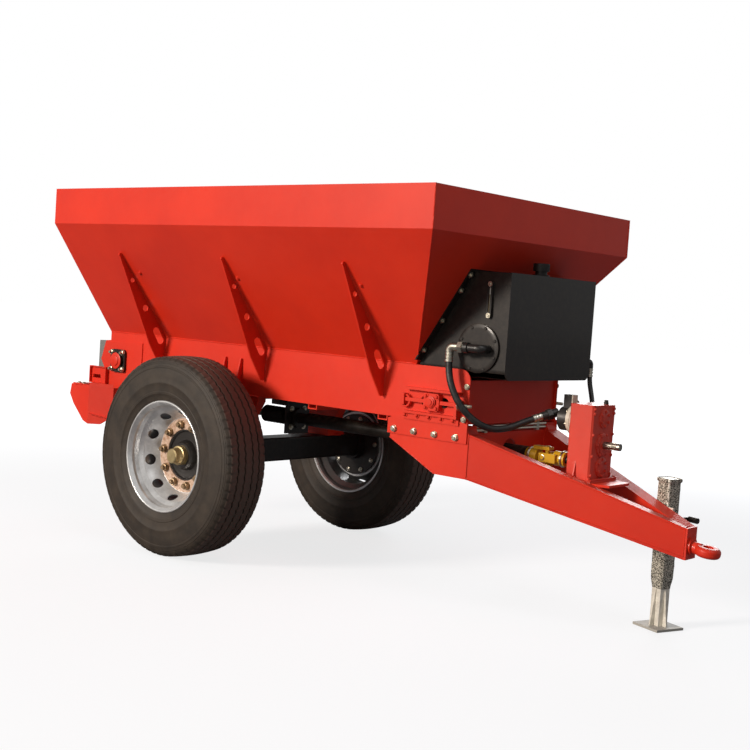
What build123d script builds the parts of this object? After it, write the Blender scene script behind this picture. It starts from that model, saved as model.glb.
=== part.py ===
from build123d import *
from math import atan2, cos, hypot, pi, radians, sin, tan
import os

os.makedirs("parts", exist_ok=True)

# Single-axle manure spreader: an open hopper on a floor conveyor, two spinning discs at the
# back, an A-frame drawbar with a power-shaft splitter gearbox at the front.
# X points forward to the towing eye, Y to the left, Z up from the ground, in millimetres.
# Stations along X are given from the axle and moved by axle_x, so that the middle of the
# whole machine is the origin.

# ---------------------------------------------------------------- driving dimensions
eye_reach = 2785  # axle to the tip of the towing eye
disc_reach = 1430  # axle to the back of the spreading discs
axle_x = (disc_reach - eye_reach) / 2
fit = 0.3  # running clearance between a shaft and its seat
seat = 0.2  # clearance between pieces pushed together

tyre_radius = 542
tyre_width = 300
rim_radius = 285.5
rim_width = 265
wheel_track = 1485

hopper_front = 1724
hopper_back = 1100
hopper_tail = 35  # the side sheets run on behind the back wall by this much at the fold
hopper_half_width = 866
rim_height = 1982
band_height = 1780
fold_height = 1155
trough_front = 1310
trough_half_width = 390
sheet = 4

side_thickness = 6
side_bottom = 880
side_front = 1644
doubler_thickness = 6

conveyor_height = 978
conveyor_back = 1030
conveyor_front = 1440
sprocket_radius = 62
chain_half_gap = 285
shaft_radius = 25

rail_width = 80
rail_rear = 1657
rail_top = 845
rail_bottom = 628
nose_x = eye_reach - 151
nose_half_width = 48
nose_top = 530
nose_bottom = 386

eye_height = 445
driveline_height = 745
stub_height = 841

disc_radius = 240
disc_height = 665
disc_spacing = 524
disc_x = axle_x - disc_reach + disc_radius


def save(builder, name):
    """Label a finished piece and write it as its own STEP file."""
    builder.part.label = name
    export_step(builder.part, f"parts/{name}.step")


sides = (("right", -1), ("left", 1))


def side_plane(y):
    """Vertical plane along the machine at y: local x from the axle forward, local y up."""
    return Plane(origin=(axle_x, y, 0), x_dir=(1, 0, 0), z_dir=(0, -1, 0))

# ---------------------------------------------------------------- wheels
# Each wheel is a wide single tyre on a deep-dish disc rim, bolted to a hub by ten nuts.
flange_radius = rim_radius + 14
hub_seat = -39  # from the tyre's middle plane to the face that the disc bolts to, outwards
disc_plate = 12
bolt_circle = 167.5
hand_hole_circle = 232
hand_hole_radius = 30
hub_pilot = 140.5
disc_rise = atan2(81, 46)  # steepness of the dished part of the disc
wheel_turn = 12.6  # where the first hand hole stands, in degrees
stud_radius = 10
hub_bore = 35
stub_axle_end = hub_seat + 62


def wheel_profile(side):
    """Plane through the wheel's axis: local x is the radius, local y runs outwards."""
    centre = (axle_x, side * wheel_track / 2, tyre_radius)
    return Plane(origin=centre, x_dir=(side, 0, 0), z_dir=(0, 0, 1))


def wheel_face(side):
    """Plane across the wheel's axis, its normal outwards."""
    return Plane(origin=(axle_x, side * wheel_track / 2, tyre_radius), x_dir=(1, 0, 0), z_dir=(0, side, 0))


wheel_axis = Axis((axle_x, 0, tyre_radius), (0, 1, 0))

for name, side in sides:
    half = tyre_width / 2
    with BuildPart() as tyre:
        with BuildSketch(wheel_profile(side)):
            with BuildLine():
                bead = Polyline(
                    (flange_radius + 2, rim_width / 2 - 1),
                    (flange_radius + 2, 118),
                    (rim_radius + fit, 106),
                    (rim_radius + fit, -106),
                    (flange_radius + 2, -118),
                    (flange_radius + 2, 1 - rim_width / 2),
                )
                ThreePointArc(bead @ 0, (405, half), (512, half - 15))
                Line((512, half - 15), (tyre_radius - 7, half - 36))
                ThreePointArc((tyre_radius - 7, half - 36), (tyre_radius, 0), (tyre_radius - 7, 36 - half))
                Line((tyre_radius - 7, 36 - half), (512, 15 - half))
                ThreePointArc((512, 15 - half), (405, -half), bead @ 1)
            make_face()
        revolve(axis=wheel_axis)
    save(tyre, f"tyre_{name}")

    edge = rim_width / 2
    disc_face = hub_seat + disc_plate
    with BuildPart(wheel_face(side)) as rim:
        with BuildSketch(wheel_profile(side)):
            with BuildLine():
                # The disc: flat where it bolts to the hub, then dished steeply out to the well.
                Polyline(
                    (hub_pilot, hub_seat),
                    (208, hub_seat),
                    (218, hub_seat + 13),
                    (253, hub_seat + 76),
                    (253, disc_face + 83),
                    (206, disc_face),
                    (hub_pilot, disc_face),
                    close=True,
                )
            make_face()
        revolve(axis=wheel_axis)
        for i in range(10):
            spoke = wheel_face(side).rotated((0, side * (wheel_turn + 36 * i), 0))
            middle = spoke.from_local_coords(Vector(hand_hole_circle, 0, disc_face + 48))
            inwards = spoke.z_dir * cos(disc_rise) - spoke.x_dir * sin(disc_rise)
            with BuildSketch(Plane(origin=middle, z_dir=inwards)):
                Circle(hand_hole_radius)
            extrude(amount=40, both=True, mode=Mode.SUBTRACT)
        with BuildSketch(wheel_profile(side)):
            with BuildLine():
                # The barrel, from the outer flange over both bead seats and the well.
                Polyline(
                    (flange_radius, edge),
                    (flange_radius, edge - 9),
                    (rim_radius, 108),
                    (rim_radius, 88),
                    (257, 50),
                    (257, -62),
                    (rim_radius, -86),
                    (rim_radius, -108),
                    (flange_radius, 9 - edge),
                    (flange_radius, -edge),
                    (rim_radius + 4, -edge),
                    (rim_radius - 9, -112),
                    (rim_radius - 9, -92),
                    (250, -66),
                    (250, 52),
                    (268, 74),
                    (rim_radius - 9, 96),
                    (rim_radius - 9, 112),
                    (rim_radius + 4, edge),
                    close=True,
                )
            make_face()
        revolve(axis=wheel_axis)
        with PolarLocations(bolt_circle, 10, start_angle=wheel_turn + 18):
            Cylinder(stud_radius + fit, 160, mode=Mode.SUBTRACT)
    save(rim, f"rim_{name}")

    with BuildPart(wheel_face(side)) as hub:
        with BuildSketch(wheel_profile(side)):
            with BuildLine():
                # Flange behind the disc, pilot in its bore, the bearing housing and its cap.
                Polyline(
                    (hub_bore + fit, hub_seat - 62),
                    (88, hub_seat - 62),
                    (92, hub_seat - 20),
                    (190, hub_seat - 18),
                    (190, hub_seat - seat),
                    (hub_pilot - fit, hub_seat - seat),
                    (hub_pilot - fit, hub_seat + 7),
                    (132, hub_seat + 7),
                    (126, hub_seat - 2),
                    (84, hub_seat - 2),
                    (76, hub_seat + 20),
                    (68, hub_seat + 34),
                    (52, hub_seat + 34),
                    (52, hub_seat + 60),
                    (44, hub_seat + 62),
                    (40, hub_seat + 78),
                    (40, hub_seat + 102),
                    (34, hub_seat + 107),
                    (0, hub_seat + 107),
                    (0, stub_axle_end + 2),
                    (hub_bore + fit, stub_axle_end + 2),
                    close=True,
                )
            make_face()
        revolve(axis=wheel_axis)
        with BuildSketch(wheel_face(side).offset(disc_face + seat)):
            with PolarLocations(bolt_circle, 10, start_angle=wheel_turn + 18):
                RegularPolygon(18.5, 6)
        extrude(amount=20)
        with BuildSketch(wheel_face(side).offset(hub_seat - 10)):
            with PolarLocations(bolt_circle, 10, start_angle=wheel_turn + 18):
                Circle(stud_radius)
        extrude(amount=disc_plate + 42)
    save(hub, f"hub_{name}")

# ---------------------------------------------------------------- axle
# A square beam with round stubs, hung under the side plates by a stand at each end.
beam = 137
beam_z = 551
beam_half = wheel_track / 2 + hub_seat - 62 - 14
stand_length = 420
stand_width = 60

with BuildPart() as axle_beam:
    with BuildSketch(Plane.XZ):
        with Locations((axle_x, beam_z)):
            RectangleRounded(beam, beam, 12)
    extrude(amount=beam_half, both=True)
    for side in (-1, 1):
        with BuildSketch(wheel_face(side).offset(-wheel_track / 2)):
            Circle(hub_bore)
        extrude(amount=wheel_track / 2 + stub_axle_end)
        with BuildSketch(wheel_face(side).offset(-wheel_track / 2 + beam_half)):
            Circle(75)
        extrude(amount=8)
save(axle_beam, "axle_beam")

beam_top = beam_z + beam / 2
gusset_height = 1080
with BuildPart() as stand:
    for side in (-1, 1):
        with BuildSketch(side_plane(side * trough_half_width)):
            with BuildLine():
                Polyline(
                    (-stand_length / 2, side_bottom),
                    (stand_length / 2, side_bottom),
                    (stand_length / 2, side_bottom - 30),
                    (beam / 2 + 20, beam_top + 30),
                    (beam / 2 + 20, beam_top),
                    (-beam / 2 - 20, beam_top),
                    (-beam / 2 - 20, beam_top + 30),
                    (-stand_length / 2, side_bottom - 30),
                    close=True,
                )
            make_face()
        extrude(amount=side * stand_width)
        for station in (-beam / 2 + 5, beam / 2 - 5):
            face = Plane(origin=(axle_x + station, 0, 0), x_dir=(0, side, 0), z_dir=(side, 0, 0))
            with BuildSketch(face):
                with BuildLine():
                    Polyline(
                        (trough_half_width, gusset_height),
                        (trough_half_width, beam_top),
                        (trough_half_width + 110, beam_top),
                        (trough_half_width + 14, gusset_height),
                        close=True,
                    )
                make_face()
            extrude(amount=5, both=True)
save(stand, "axle_stands")

# ---------------------------------------------------------------- hopper
# Four bent sheets: a vertical band round the rim, and walls that fold in to the trough.


def hopper_core(inset_x, inset_y, tail=0):
    """The hopper's outline as a solid, drawn in by the given amounts, longer at the fold by a tail."""
    with BuildPart() as core:
        for height in (fold_height, band_height):
            on_fold = height == fold_height
            front = (trough_front if on_fold else hopper_front) - inset_x
            back = -hopper_back + inset_x - (tail if on_fold else 0)
            half = (trough_half_width if on_fold else hopper_half_width) - inset_y
            with BuildSketch(Plane.XY.offset(height)):
                with Locations((axle_x + (front + back) / 2, 0)):
                    Rectangle(front - back, 2 * half)
        loft()
        with BuildSketch(Plane.XY.offset(band_height)):
            front = hopper_front - inset_x
            back = -hopper_back + inset_x
            with Locations((axle_x + (front + back) / 2, 0)):
                Rectangle(front - back, 2 * (hopper_half_width - inset_y))
        extrude(amount=rim_height - band_height)
    return core.part


whole_hopper = hopper_core(0, 0, hopper_tail)
within_sides = hopper_core(0, sheet, hopper_tail)
between_sides = hopper_core(0, sheet)
inside_hopper = hopper_core(sheet, sheet)

for name, side in sides:
    with BuildPart() as hopper_side:
        add(whole_hopper)
        add(within_sides, mode=Mode.SUBTRACT)
        split(bisect_by=Plane.XZ, keep=Keep.TOP if side < 0 else Keep.BOTTOM)
    save(hopper_side, f"hopper_side_{name}")

for name, keep in (("front", Keep.TOP), ("back", Keep.BOTTOM)):
    with BuildPart() as hopper_end:
        add(between_sides)
        add(inside_hopper, mode=Mode.SUBTRACT)
        split(bisect_by=Plane.YZ, keep=keep)
    save(hopper_end, f"hopper_{name}")

# ---------------------------------------------------------------- trough side plates
# One plate on each side of the conveyor carries the hopper, both shafts and the axle.
tube_x = axle_x - 1235
tube_z = 872
tube_size = 104
lobe_bottom = 797
corner_radius = 55

side_outline = (
    (-hopper_back - hopper_tail + 4, fold_height),
    (-hopper_back - hopper_tail + 4, 1100),
    (-1178, 1094),
    (-1219, 973),
    (tube_x + tube_size / 2 - axle_x, tube_z + tube_size / 2),
    (tube_x + tube_size / 2 - axle_x, lobe_bottom),
    (-1043, lobe_bottom),
    (-960, side_bottom),
    (side_front, side_bottom),
    (side_front, fold_height - 4),
    (trough_front, fold_height - 4),
    (trough_front, fold_height),
)


for name, side in sides:
    with BuildPart() as side_plate:
        with BuildSketch(side_plane(side * trough_half_width)):
            with BuildLine():
                Polyline(*side_outline, close=True)
            make_face()
            with Locations((-conveyor_back, conveyor_height)):
                Circle(shaft_radius + fit, mode=Mode.SUBTRACT)
            with Locations((conveyor_front, conveyor_height)):
                SlotCenterToCenter(120, 2 * (shaft_radius + fit), mode=Mode.SUBTRACT)
        extrude(amount=side * side_thickness)
        front_edge = side_plate.edges().filter_by(Axis.Y).group_by(Axis.X)[-1].sort_by(Axis.Z)[-1]
        fillet(front_edge, corner_radius)
    save(side_plate, f"side_plate_{name}")

# ---------------------------------------------------------------- hopper ribs
# Three perforated gussets on each side stiffen the sloping wall against the side plate.
rib_stations = (-610, 250, 1110)
rib_thickness = 8
rib_top = 1623
rib_foot = 975
rib_lip = 25  # width at the top
rib_knee = 118  # width at the knee
rib_knee_height = 1105
rib_toe = 30
slope = (hopper_half_width - trough_half_width) / (band_height - fold_height)


def wall_y(height):
    """Outer face of the sloping wall at a height."""
    return trough_half_width + slope * (height - fold_height)


def rib_middle(height):
    """Middle of a rib's width at a height on the sloping wall."""
    share = (rib_top - height) / (rib_top - rib_knee_height)
    return wall_y(height) + (rib_lip + share * (rib_knee - rib_lip)) / 2


with BuildPart() as ribs:
    for side in (-1, 1):
        for station in rib_stations:
            face = Plane(origin=(axle_x + station, 0, 0), x_dir=(0, side, 0), z_dir=(side, 0, 0))
            with BuildSketch(face):
                with BuildLine():
                    foot = Polyline(
                        (wall_y(rib_top), rib_top),
                        (trough_half_width, fold_height),
                        (trough_half_width + doubler_thickness, rib_foot),
                        (trough_half_width + rib_toe, rib_foot),
                        (trough_half_width + rib_knee, rib_knee_height),
                        (wall_y(rib_top - 16) + rib_lip, rib_top - 16),
                    )
                    middle = (wall_y(rib_top) + rib_lip * 0.6, rib_top)
                    ThreePointArc(foot @ 1, middle, foot @ 0)
                make_face()
                for radius, drop in ((14, 147), (19, 304)):
                    height = rib_top - drop
                    with Locations((rib_middle(height), height)):
                        Circle(radius, mode=Mode.SUBTRACT)
                with Locations((rib_middle(rib_top - 463), rib_top - 463)):
                    SlotOverall(110, 44, rotation=56, mode=Mode.SUBTRACT)
            extrude(amount=rib_thickness / 2, both=True)
save(ribs, "hopper_ribs")

# ---------------------------------------------------------------- conveyor
# Two chains with slats run over the hopper floor between a driven and an idler shaft.
floor_top = conveyor_height + sprocket_radius - 4
floor_thickness = 5
inner_half = trough_half_width - side_thickness
chain_thickness = 22
slat_height = 20
slat_count = 11

with BuildPart() as hopper_floor:
    with BuildSketch(Plane.XY.offset(floor_top)):
        floor_front = conveyor_front - sprocket_radius - 50
        floor_back = -conveyor_back + sprocket_radius + 50
        with Locations((axle_x + (floor_front + floor_back) / 2, 0)):
            Rectangle(floor_front - floor_back, 2 * inner_half)
    extrude(amount=-floor_thickness)
save(hopper_floor, "hopper_floor")

with BuildPart() as conveyor_chain:
    run = conveyor_front + conveyor_back
    middle = (conveyor_front - conveyor_back) / 2
    for y in (-chain_half_gap, chain_half_gap):
        with BuildSketch(side_plane(y)):
            with Locations((middle, conveyor_height)):
                SlotCenterToCenter(run, 2 * (sprocket_radius + chain_thickness))
                SlotCenterToCenter(run, 2 * sprocket_radius, mode=Mode.SUBTRACT)
        extrude(amount=16, both=True)
    for i in range(slat_count):
        station = middle + run * ((i + 0.5) / slat_count - 0.5)
        for z in (sprocket_radius, -sprocket_radius - slat_height):
            with Locations((axle_x + station, 0, conveyor_height + z + slat_height / 2)):
                Box(34, 2 * chain_half_gap + 60, slat_height)
save(conveyor_chain, "conveyor_chain")

shaft_half = trough_half_width + 38
with BuildPart() as shafts:
    for station in (-conveyor_back, conveyor_front):
        with BuildSketch(side_plane(0)):
            with Locations((station, conveyor_height)):
                Circle(shaft_radius)
        extrude(amount=shaft_half, both=True)
        for y in (-chain_half_gap, chain_half_gap):
            with BuildSketch(side_plane(y)):
                with Locations((station, conveyor_height)):
                    Circle(sprocket_radius - seat)
            extrude(amount=14, both=True)
save(shafts, "conveyor_shafts")

# Square four-bolt flange bearings of the drive shaft, on a doubler plate.
doubler_outline = ((-1213, 973), (-1174, 1089), (-814, 1100), (-814, 892), (-955, 892), (-1160, 935))
bearing_size = 140
bearing_pitch = 102
bearing_depth = 30
with BuildPart() as doubler:
    for side in (-1, 1):
        with BuildSketch(side_plane(side * trough_half_width)):
            with BuildLine():
                Polyline(*doubler_outline, close=True)
            make_face()
            with Locations((-conveyor_back, conveyor_height)):
                Circle(shaft_radius + fit, mode=Mode.SUBTRACT)
        extrude(amount=-side * doubler_thickness)
save(doubler, "bearing_plates")

with BuildPart() as bearing:
    for side in (-1, 1):
        bearing_y = side * (trough_half_width + doubler_thickness)
        with BuildSketch(side_plane(bearing_y)):
            with Locations((-conveyor_back, conveyor_height)):
                RectangleRounded(bearing_size, bearing_size, 22)
                Circle(shaft_radius + fit, mode=Mode.SUBTRACT)
        extrude(amount=-side * 14)
        with BuildSketch(side_plane(bearing_y)):
            with Locations((-conveyor_back, conveyor_height)):
                Circle(52)
                Circle(shaft_radius + fit, mode=Mode.SUBTRACT)
        extrude(amount=-side * bearing_depth)
        with BuildSketch(side_plane(bearing_y)):
            with Locations((-conveyor_back, conveyor_height)):
                with GridLocations(bearing_pitch, bearing_pitch, 2, 2):
                    RegularPolygon(13, 6)
        extrude(amount=-side * 26)
save(bearing, "drive_bearings")

# Take-up of the idler shaft: a bearing block that a long screw pulls along a slide.
with BuildPart() as take_up:
    for side in (-1, 1):
        with BuildSketch(side_plane(side * trough_half_width)):
            with Locations((conveyor_front, conveyor_height)):
                RectangleRounded(96, 84, 12)
                Circle(shaft_radius + fit, mode=Mode.SUBTRACT)
        extrude(amount=-side * 30)
        with BuildSketch(side_plane(side * (trough_half_width + 17))):
            with Locations((1330, conveyor_height)):
                Rectangle(150, 18)
            with Locations((1540, conveyor_height)):
                Rectangle(120, 18)
        extrude(amount=9, both=True)
        with BuildSketch(side_plane(side * trough_half_width)):
            with Locations((1262, conveyor_height)):
                Rectangle(20, 56)
            with Locations((1590, conveyor_height - 14)):
                Rectangle(16, 84)
            with Locations((1434, conveyor_height - 62)):
                Rectangle(330, 12)
            with Locations((1434, conveyor_height + 56)):
                Rectangle(330, 12)
        extrude(amount=-side * 34)
save(take_up, "chain_take_ups")

# Hydraulic motor on the left end of the drive shaft.
with BuildPart() as conveyor_motor:
    motor_y = trough_half_width + doubler_thickness + bearing_depth
    with BuildSketch(side_plane(motor_y)):
        with Locations((-conveyor_back, conveyor_height)):
            Rectangle(110, 110)
    extrude(amount=-44)
    with BuildSketch(side_plane(motor_y)):
        with Locations((-conveyor_back, conveyor_height)):
            Circle(shaft_radius + fit)
    extrude(amount=-6, mode=Mode.SUBTRACT)
    with BuildSketch(side_plane(motor_y + 44)):
        with Locations((-conveyor_back, conveyor_height)):
            Circle(48)
    extrude(amount=-62)
    with BuildSketch(side_plane(motor_y + 75)):
        with Locations((-conveyor_back, conveyor_height + 50)):
            with GridLocations(40, 0, 2, 1):
                Circle(12)
    extrude(amount=9, both=True)
save(conveyor_motor, "conveyor_motor")

# ---------------------------------------------------------------- cross members
# Channels between the side plates, below the returning chain.
stand_gap = trough_half_width - stand_width
with BuildPart() as cross_members:
    for station, half in ((-700, inner_half), (80, stand_gap), (620, inner_half), (1110, inner_half)):
        with BuildSketch(Plane.XZ.offset(-half)):
            with Locations((axle_x + station, side_bottom - 9)):
                Rectangle(64, 34)
            with Locations((axle_x + station, side_bottom - 3)):
                Rectangle(52, 34, mode=Mode.SUBTRACT)
        extrude(amount=2 * half)
save(cross_members, "cross_members")

# ---------------------------------------------------------------- front panel
with BuildPart() as front_panel:
    with BuildSketch(Plane.YZ.offset(axle_x + side_front - 14)):
        with Locations((0, (1100 + side_bottom + 8) / 2)):
            Rectangle(2 * inner_half, 1100 - side_bottom - 8)
    extrude(amount=-6)
    with BuildSketch(Plane.XY.offset(1100)):
        with Locations((axle_x + (side_front - 20 + 1500) / 2, 0)):
            Rectangle(side_front - 20 - 1500, 2 * inner_half)
    extrude(amount=-5)
save(front_panel, "front_panel")

# ---------------------------------------------------------------- drawbar
# Two deep welded rails, straight under the side plates and then drawn in to the nose.
gusset_start = 1172
gusset_low = 1466
gusset_top = 797
rail_run = hypot(nose_x - rail_rear, trough_half_width - nose_half_width)
rail_angle = atan2(trough_half_width - nose_half_width, nose_x - rail_rear)

for name, side in sides:
    with BuildPart() as rail:
        with BuildSketch(side_plane(side * trough_half_width)):
            with BuildLine():
                Polyline(
                    (gusset_start, side_bottom - seat),
                    (gusset_start, gusset_top - 20),
                    (gusset_low, rail_bottom),
                    (rail_rear, rail_bottom),
                    (rail_rear, rail_top),
                    (side_front, rail_top + 20),
                    (side_front, side_bottom - seat),
                    close=True,
                )
            make_face()
        extrude(amount=side * rail_width)
        along = Plane(
            origin=(axle_x + rail_rear, side * trough_half_width, 0),
            x_dir=(cos(rail_angle), -side * sin(rail_angle), 0),
            z_dir=(-side * sin(rail_angle), -cos(rail_angle), 0),
        )
        with BuildSketch(along):
            with BuildLine():
                Polyline(
                    (-60, rail_bottom),
                    (0, rail_bottom),
                    (rail_run, nose_bottom),
                    (rail_run, nose_top),
                    (0, rail_top),
                    (-60, rail_top),
                    close=True,
                )
            make_face()
        extrude(amount=side * rail_width)
        split(bisect_by=Plane.XZ, keep=Keep.TOP if side < 0 else Keep.BOTTOM)
        split(bisect_by=Plane.YZ.offset(axle_x + nose_x), keep=Keep.BOTTOM)
        limit = Plane.XZ.offset(trough_half_width) if side < 0 else Plane.XZ.offset(-trough_half_width)
        split(bisect_by=limit, keep=Keep.BOTTOM if side < 0 else Keep.TOP)
    save(rail, f"drawbar_rail_{name}")

# Outer splice plates, each with four large bolts.
with BuildPart() as splice:
    for side in (-1, 1):
        with BuildSketch(side_plane(side * trough_half_width)):
            with BuildLine():
                Polyline(
                    (1160, 797),
                    (1651, 797),
                    (1651, side_bottom + 12),
                    (1600, side_bottom + 22),
                    (1250, side_bottom + 22),
                    (1160, side_bottom - 8),
                    close=True,
                )
            make_face()
        extrude(amount=-side * 10)
        with BuildSketch(side_plane(side * (trough_half_width + 10))):
            with Locations(*[(1204 + 127.5 * i, 822) for i in range(4)]):
                RegularPolygon(15, 6)
        extrude(amount=-side * 12)
save(splice, "splice_plates")

# Platform for the gearbox, welded between the rails.
platform_back = 1990
platform_front = 2262
platform_top = 668


def rail_inner(station):
    """Inner face of a drawbar rail at a station."""
    outer = trough_half_width - tan(rail_angle) * (station - rail_rear)
    return outer - rail_width / cos(rail_angle)


with BuildPart() as drawbar_cross:
    with BuildSketch(Plane.YZ.offset(axle_x + rail_rear - 34)):
        with Locations((0, (rail_bottom + rail_top) / 2)):
            Rectangle(2 * (trough_half_width - rail_width), rail_top - rail_bottom)
        with Locations((0, driveline_height)):
            Circle(62, mode=Mode.SUBTRACT)
    extrude(amount=8)
    with BuildSketch(Plane.XY.offset(platform_top)):
        with BuildLine():
            Polyline(
                (axle_x + platform_back, -rail_inner(platform_back)),
                (axle_x + platform_front, -rail_inner(platform_front)),
                (axle_x + platform_front, rail_inner(platform_front)),
                (axle_x + platform_back, rail_inner(platform_back)),
                close=True,
            )
        make_face()
    extrude(amount=-12)
save(drawbar_cross, "drawbar_cross_plates")


# The shank of the towing eye leaves the nose plate sloping a little downwards.
nose_plate = 12
eye_slope = radians(7)
eye_thickness = 45
eye_radius = 58
eye_round = 18
eye_bore = 25
shank_radius = 27.5
eye_tip = eye_round + (eye_radius - eye_round) * cos(eye_slope)
eye_tip += (eye_thickness / 2 - eye_round) * sin(eye_slope)
eye_run = (eye_reach - eye_tip - nose_x) / cos(eye_slope)
shank_plane = Plane(
    origin=(axle_x + nose_x, 0, eye_height),
    x_dir=(0, 1, 0),
    z_dir=(cos(eye_slope), 0, -sin(eye_slope)),
)
ring_plane = Plane(
    origin=shank_plane.from_local_coords(Vector(0, 0, eye_run)),
    x_dir=(0, 1, 0),
    z_dir=(sin(eye_slope), 0, cos(eye_slope)),
)
with BuildPart() as nose:
    with BuildSketch(Plane.YZ.offset(axle_x + nose_x)):
        with Locations((0, (nose_top + nose_bottom) / 2)):
            Rectangle(2 * nose_half_width, nose_top - nose_bottom)
    extrude(amount=nose_plate)
    with BuildSketch(Plane.YZ.offset(axle_x + nose_x + nose_plate)):
        with Locations((0, eye_height)):
            Circle(40)
    extrude(amount=10)
    with BuildSketch(shank_plane.offset(-20)):
        Circle(shank_radius + fit)
    extrude(amount=60, mode=Mode.SUBTRACT)
save(nose, "drawbar_nose")

with BuildPart() as eye:
    with BuildSketch(ring_plane):
        Circle(eye_radius)
    extrude(amount=eye_thickness / 2, both=True)
    fillet(eye.edges().filter_by(GeomType.CIRCLE), eye_round)
    with BuildSketch(shank_plane.offset(-20)):
        Circle(shank_radius)
    extrude(amount=eye_run - eye_bore + 12)
    split(bisect_by=Plane.YZ.offset(axle_x + nose_x), keep=Keep.TOP)
    with BuildSketch(ring_plane):
        Circle(eye_bore)
    extrude(amount=eye_thickness, both=True, mode=Mode.SUBTRACT)
save(eye, "towing_eye")

# ---------------------------------------------------------------- hose routes
# From the elbows on the tank to the pump and to its valve, measured from the axle.
suction_radius = 16.5
return_radius = 12.5
elbow_y = -455
elbow_z = 1258
pump_z = 944
valve_x = 1965
valve_half = 22
suction_route = (
    (1556, elbow_y, 1232),
    (1556, elbow_y, 1154),
    (1584, -460, 1068),
    (1632, -440, 975),
    (1682, -380, 905),
    (1728, -300, 872),
    (1768, -208, 884),
    (1804, -125, 920),
    (1848, -62, pump_z),
)
return_route = (
    (1808, 425, 1180),
    (1808, 425, 1116),
    (1832, 416, 1046),
    (1866, 380, 990),
    (1898, 318, 958),
    (1926, 245, 952),
    (1948, 172, 970),
    (1960, 108, 999),
    (valve_x, valve_half + 32, 1020),
)


def hose_end(route):
    """Plane across the far end of a hose, looking on along the hose."""
    before = Vector(*route[-2])
    end = Vector(*route[-1])
    return Plane(origin=end + Vector(axle_x, 0, 0), z_dir=end - before)


# ---------------------------------------------------------------- gearbox and driveline
gear_back = 2027
gear_front = 2155
gear_half = 103
gear_top = 1030
stub_radius = 17.5
stub_end = 2253
shaft_end_radius = 20

with BuildPart() as gearbox:
    with BuildSketch(Plane.XY.offset(platform_top)):
        with Locations((axle_x + (gear_back + gear_front) / 2, 0)):
            Rectangle(gear_front - gear_back, 2 * gear_half)
    extrude(amount=gear_top - platform_top)
    chamfer(gearbox.edges().filter_by(Axis.Z), 8)
    with BuildSketch(Plane.XY.offset(platform_top)):
        with Locations((axle_x + (gear_back + gear_front) / 2, 0)):
            Rectangle(gear_front - gear_back + 40, 2 * gear_half + 40)
    extrude(amount=12)
    with BuildSketch(Plane.YZ.offset(axle_x + gear_front)):
        with Locations((0, stub_height)):
            Circle(44)
    extrude(amount=12)
    with BuildSketch(Plane.YZ.offset(axle_x + gear_front + 12)):
        with Locations((0, stub_height)):
            Circle(stub_radius + fit)
    extrude(amount=-62, mode=Mode.SUBTRACT)
    with BuildSketch(Plane.YZ.offset(axle_x + gear_back)):
        with Locations((0, driveline_height)):
            Circle(40)
    extrude(amount=-10)
    with BuildSketch(Plane.YZ.offset(axle_x + gear_back - 10)):
        with Locations((0, driveline_height)):
            Circle(shaft_end_radius + fit)
    extrude(amount=50, mode=Mode.SUBTRACT)
save(gearbox, "splitter_gearbox")

with BuildPart() as stub:
    with BuildSketch(Plane.YZ.offset(axle_x + gear_front - 40)):
        with Locations((0, stub_height)):
            Circle(stub_radius)
    extrude(amount=stub_end - gear_front + 40)
    with BuildSketch(Plane.YZ.offset(axle_x + stub_end - 75)):
        with Locations((0, stub_height)):
            with PolarLocations(stub_radius, 6):
                Rectangle(5, 9)
    extrude(amount=60, mode=Mode.SUBTRACT)
save(stub, "power_shaft_stub")

with BuildPart() as pump:
    for radius, near, far in ((66, 2027, 2003), (69, 2003, 1983), (58, 1983, 1930), (30, 1930, 1912)):
        with BuildSketch(Plane.YZ.offset(axle_x + far)):
            with Locations((0, pump_z)):
                Circle(radius)
        extrude(amount=near - far)
    with BuildSketch(Plane.XY.offset(pump_z + 40)):
        with Locations((axle_x + valve_x, 0)):
            Rectangle(50, 2 * valve_half)
    extrude(amount=78)
    with BuildSketch(hose_end(return_route)):
        Circle(16)
    extrude(amount=44)
    with BuildSketch(hose_end(suction_route)):
        Circle(21)
    extrude(amount=84)
    with BuildSketch(hose_end(suction_route).offset(28)):
        RegularPolygon(28, 6)
    extrude(amount=24)
save(pump, "hydraulic_pump")

bearing_station = 135
joint_front = 1968
joint_back = 1748
driveline_rear = -832
with BuildPart() as driveline:
    for radius, start, end in (
        (shaft_end_radius, gear_back + 30, joint_front),
        (38, joint_back, 240),
        (30, 240, bearing_station - 60),
        (shaft_end_radius, bearing_station - 60, driveline_rear),
    ):
        with BuildSketch(Plane.YZ.offset(axle_x + end)):
            with Locations((0, driveline_height)):
                Circle(radius)
        extrude(amount=start - end)
save(driveline, "driveline")

# Universal joint: a yoke on each shaft end and the cross between them.
joint_x = axle_x + (joint_front + joint_back) / 2
with BuildPart() as joint:
    for start, end in ((joint_front, joint_front - 62), (joint_back + 62, joint_back)):
        with BuildSketch(Plane.YZ.offset(axle_x + end)):
            with Locations((0, driveline_height)):
                Circle(36)
        extrude(amount=start - end)
    for arm in (-42, 42):
        with Locations((joint_x + 26, arm, driveline_height)):
            Box(92, 16, 44)
        with Locations((joint_x - 26, 0, driveline_height + arm)):
            Box(92, 44, 16)
    with Locations((joint_x, 0, driveline_height)):
        Cylinder(11, 108)
        Cylinder(11, 108, rotation=(90, 0, 0))
save(joint, "universal_joint")

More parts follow.
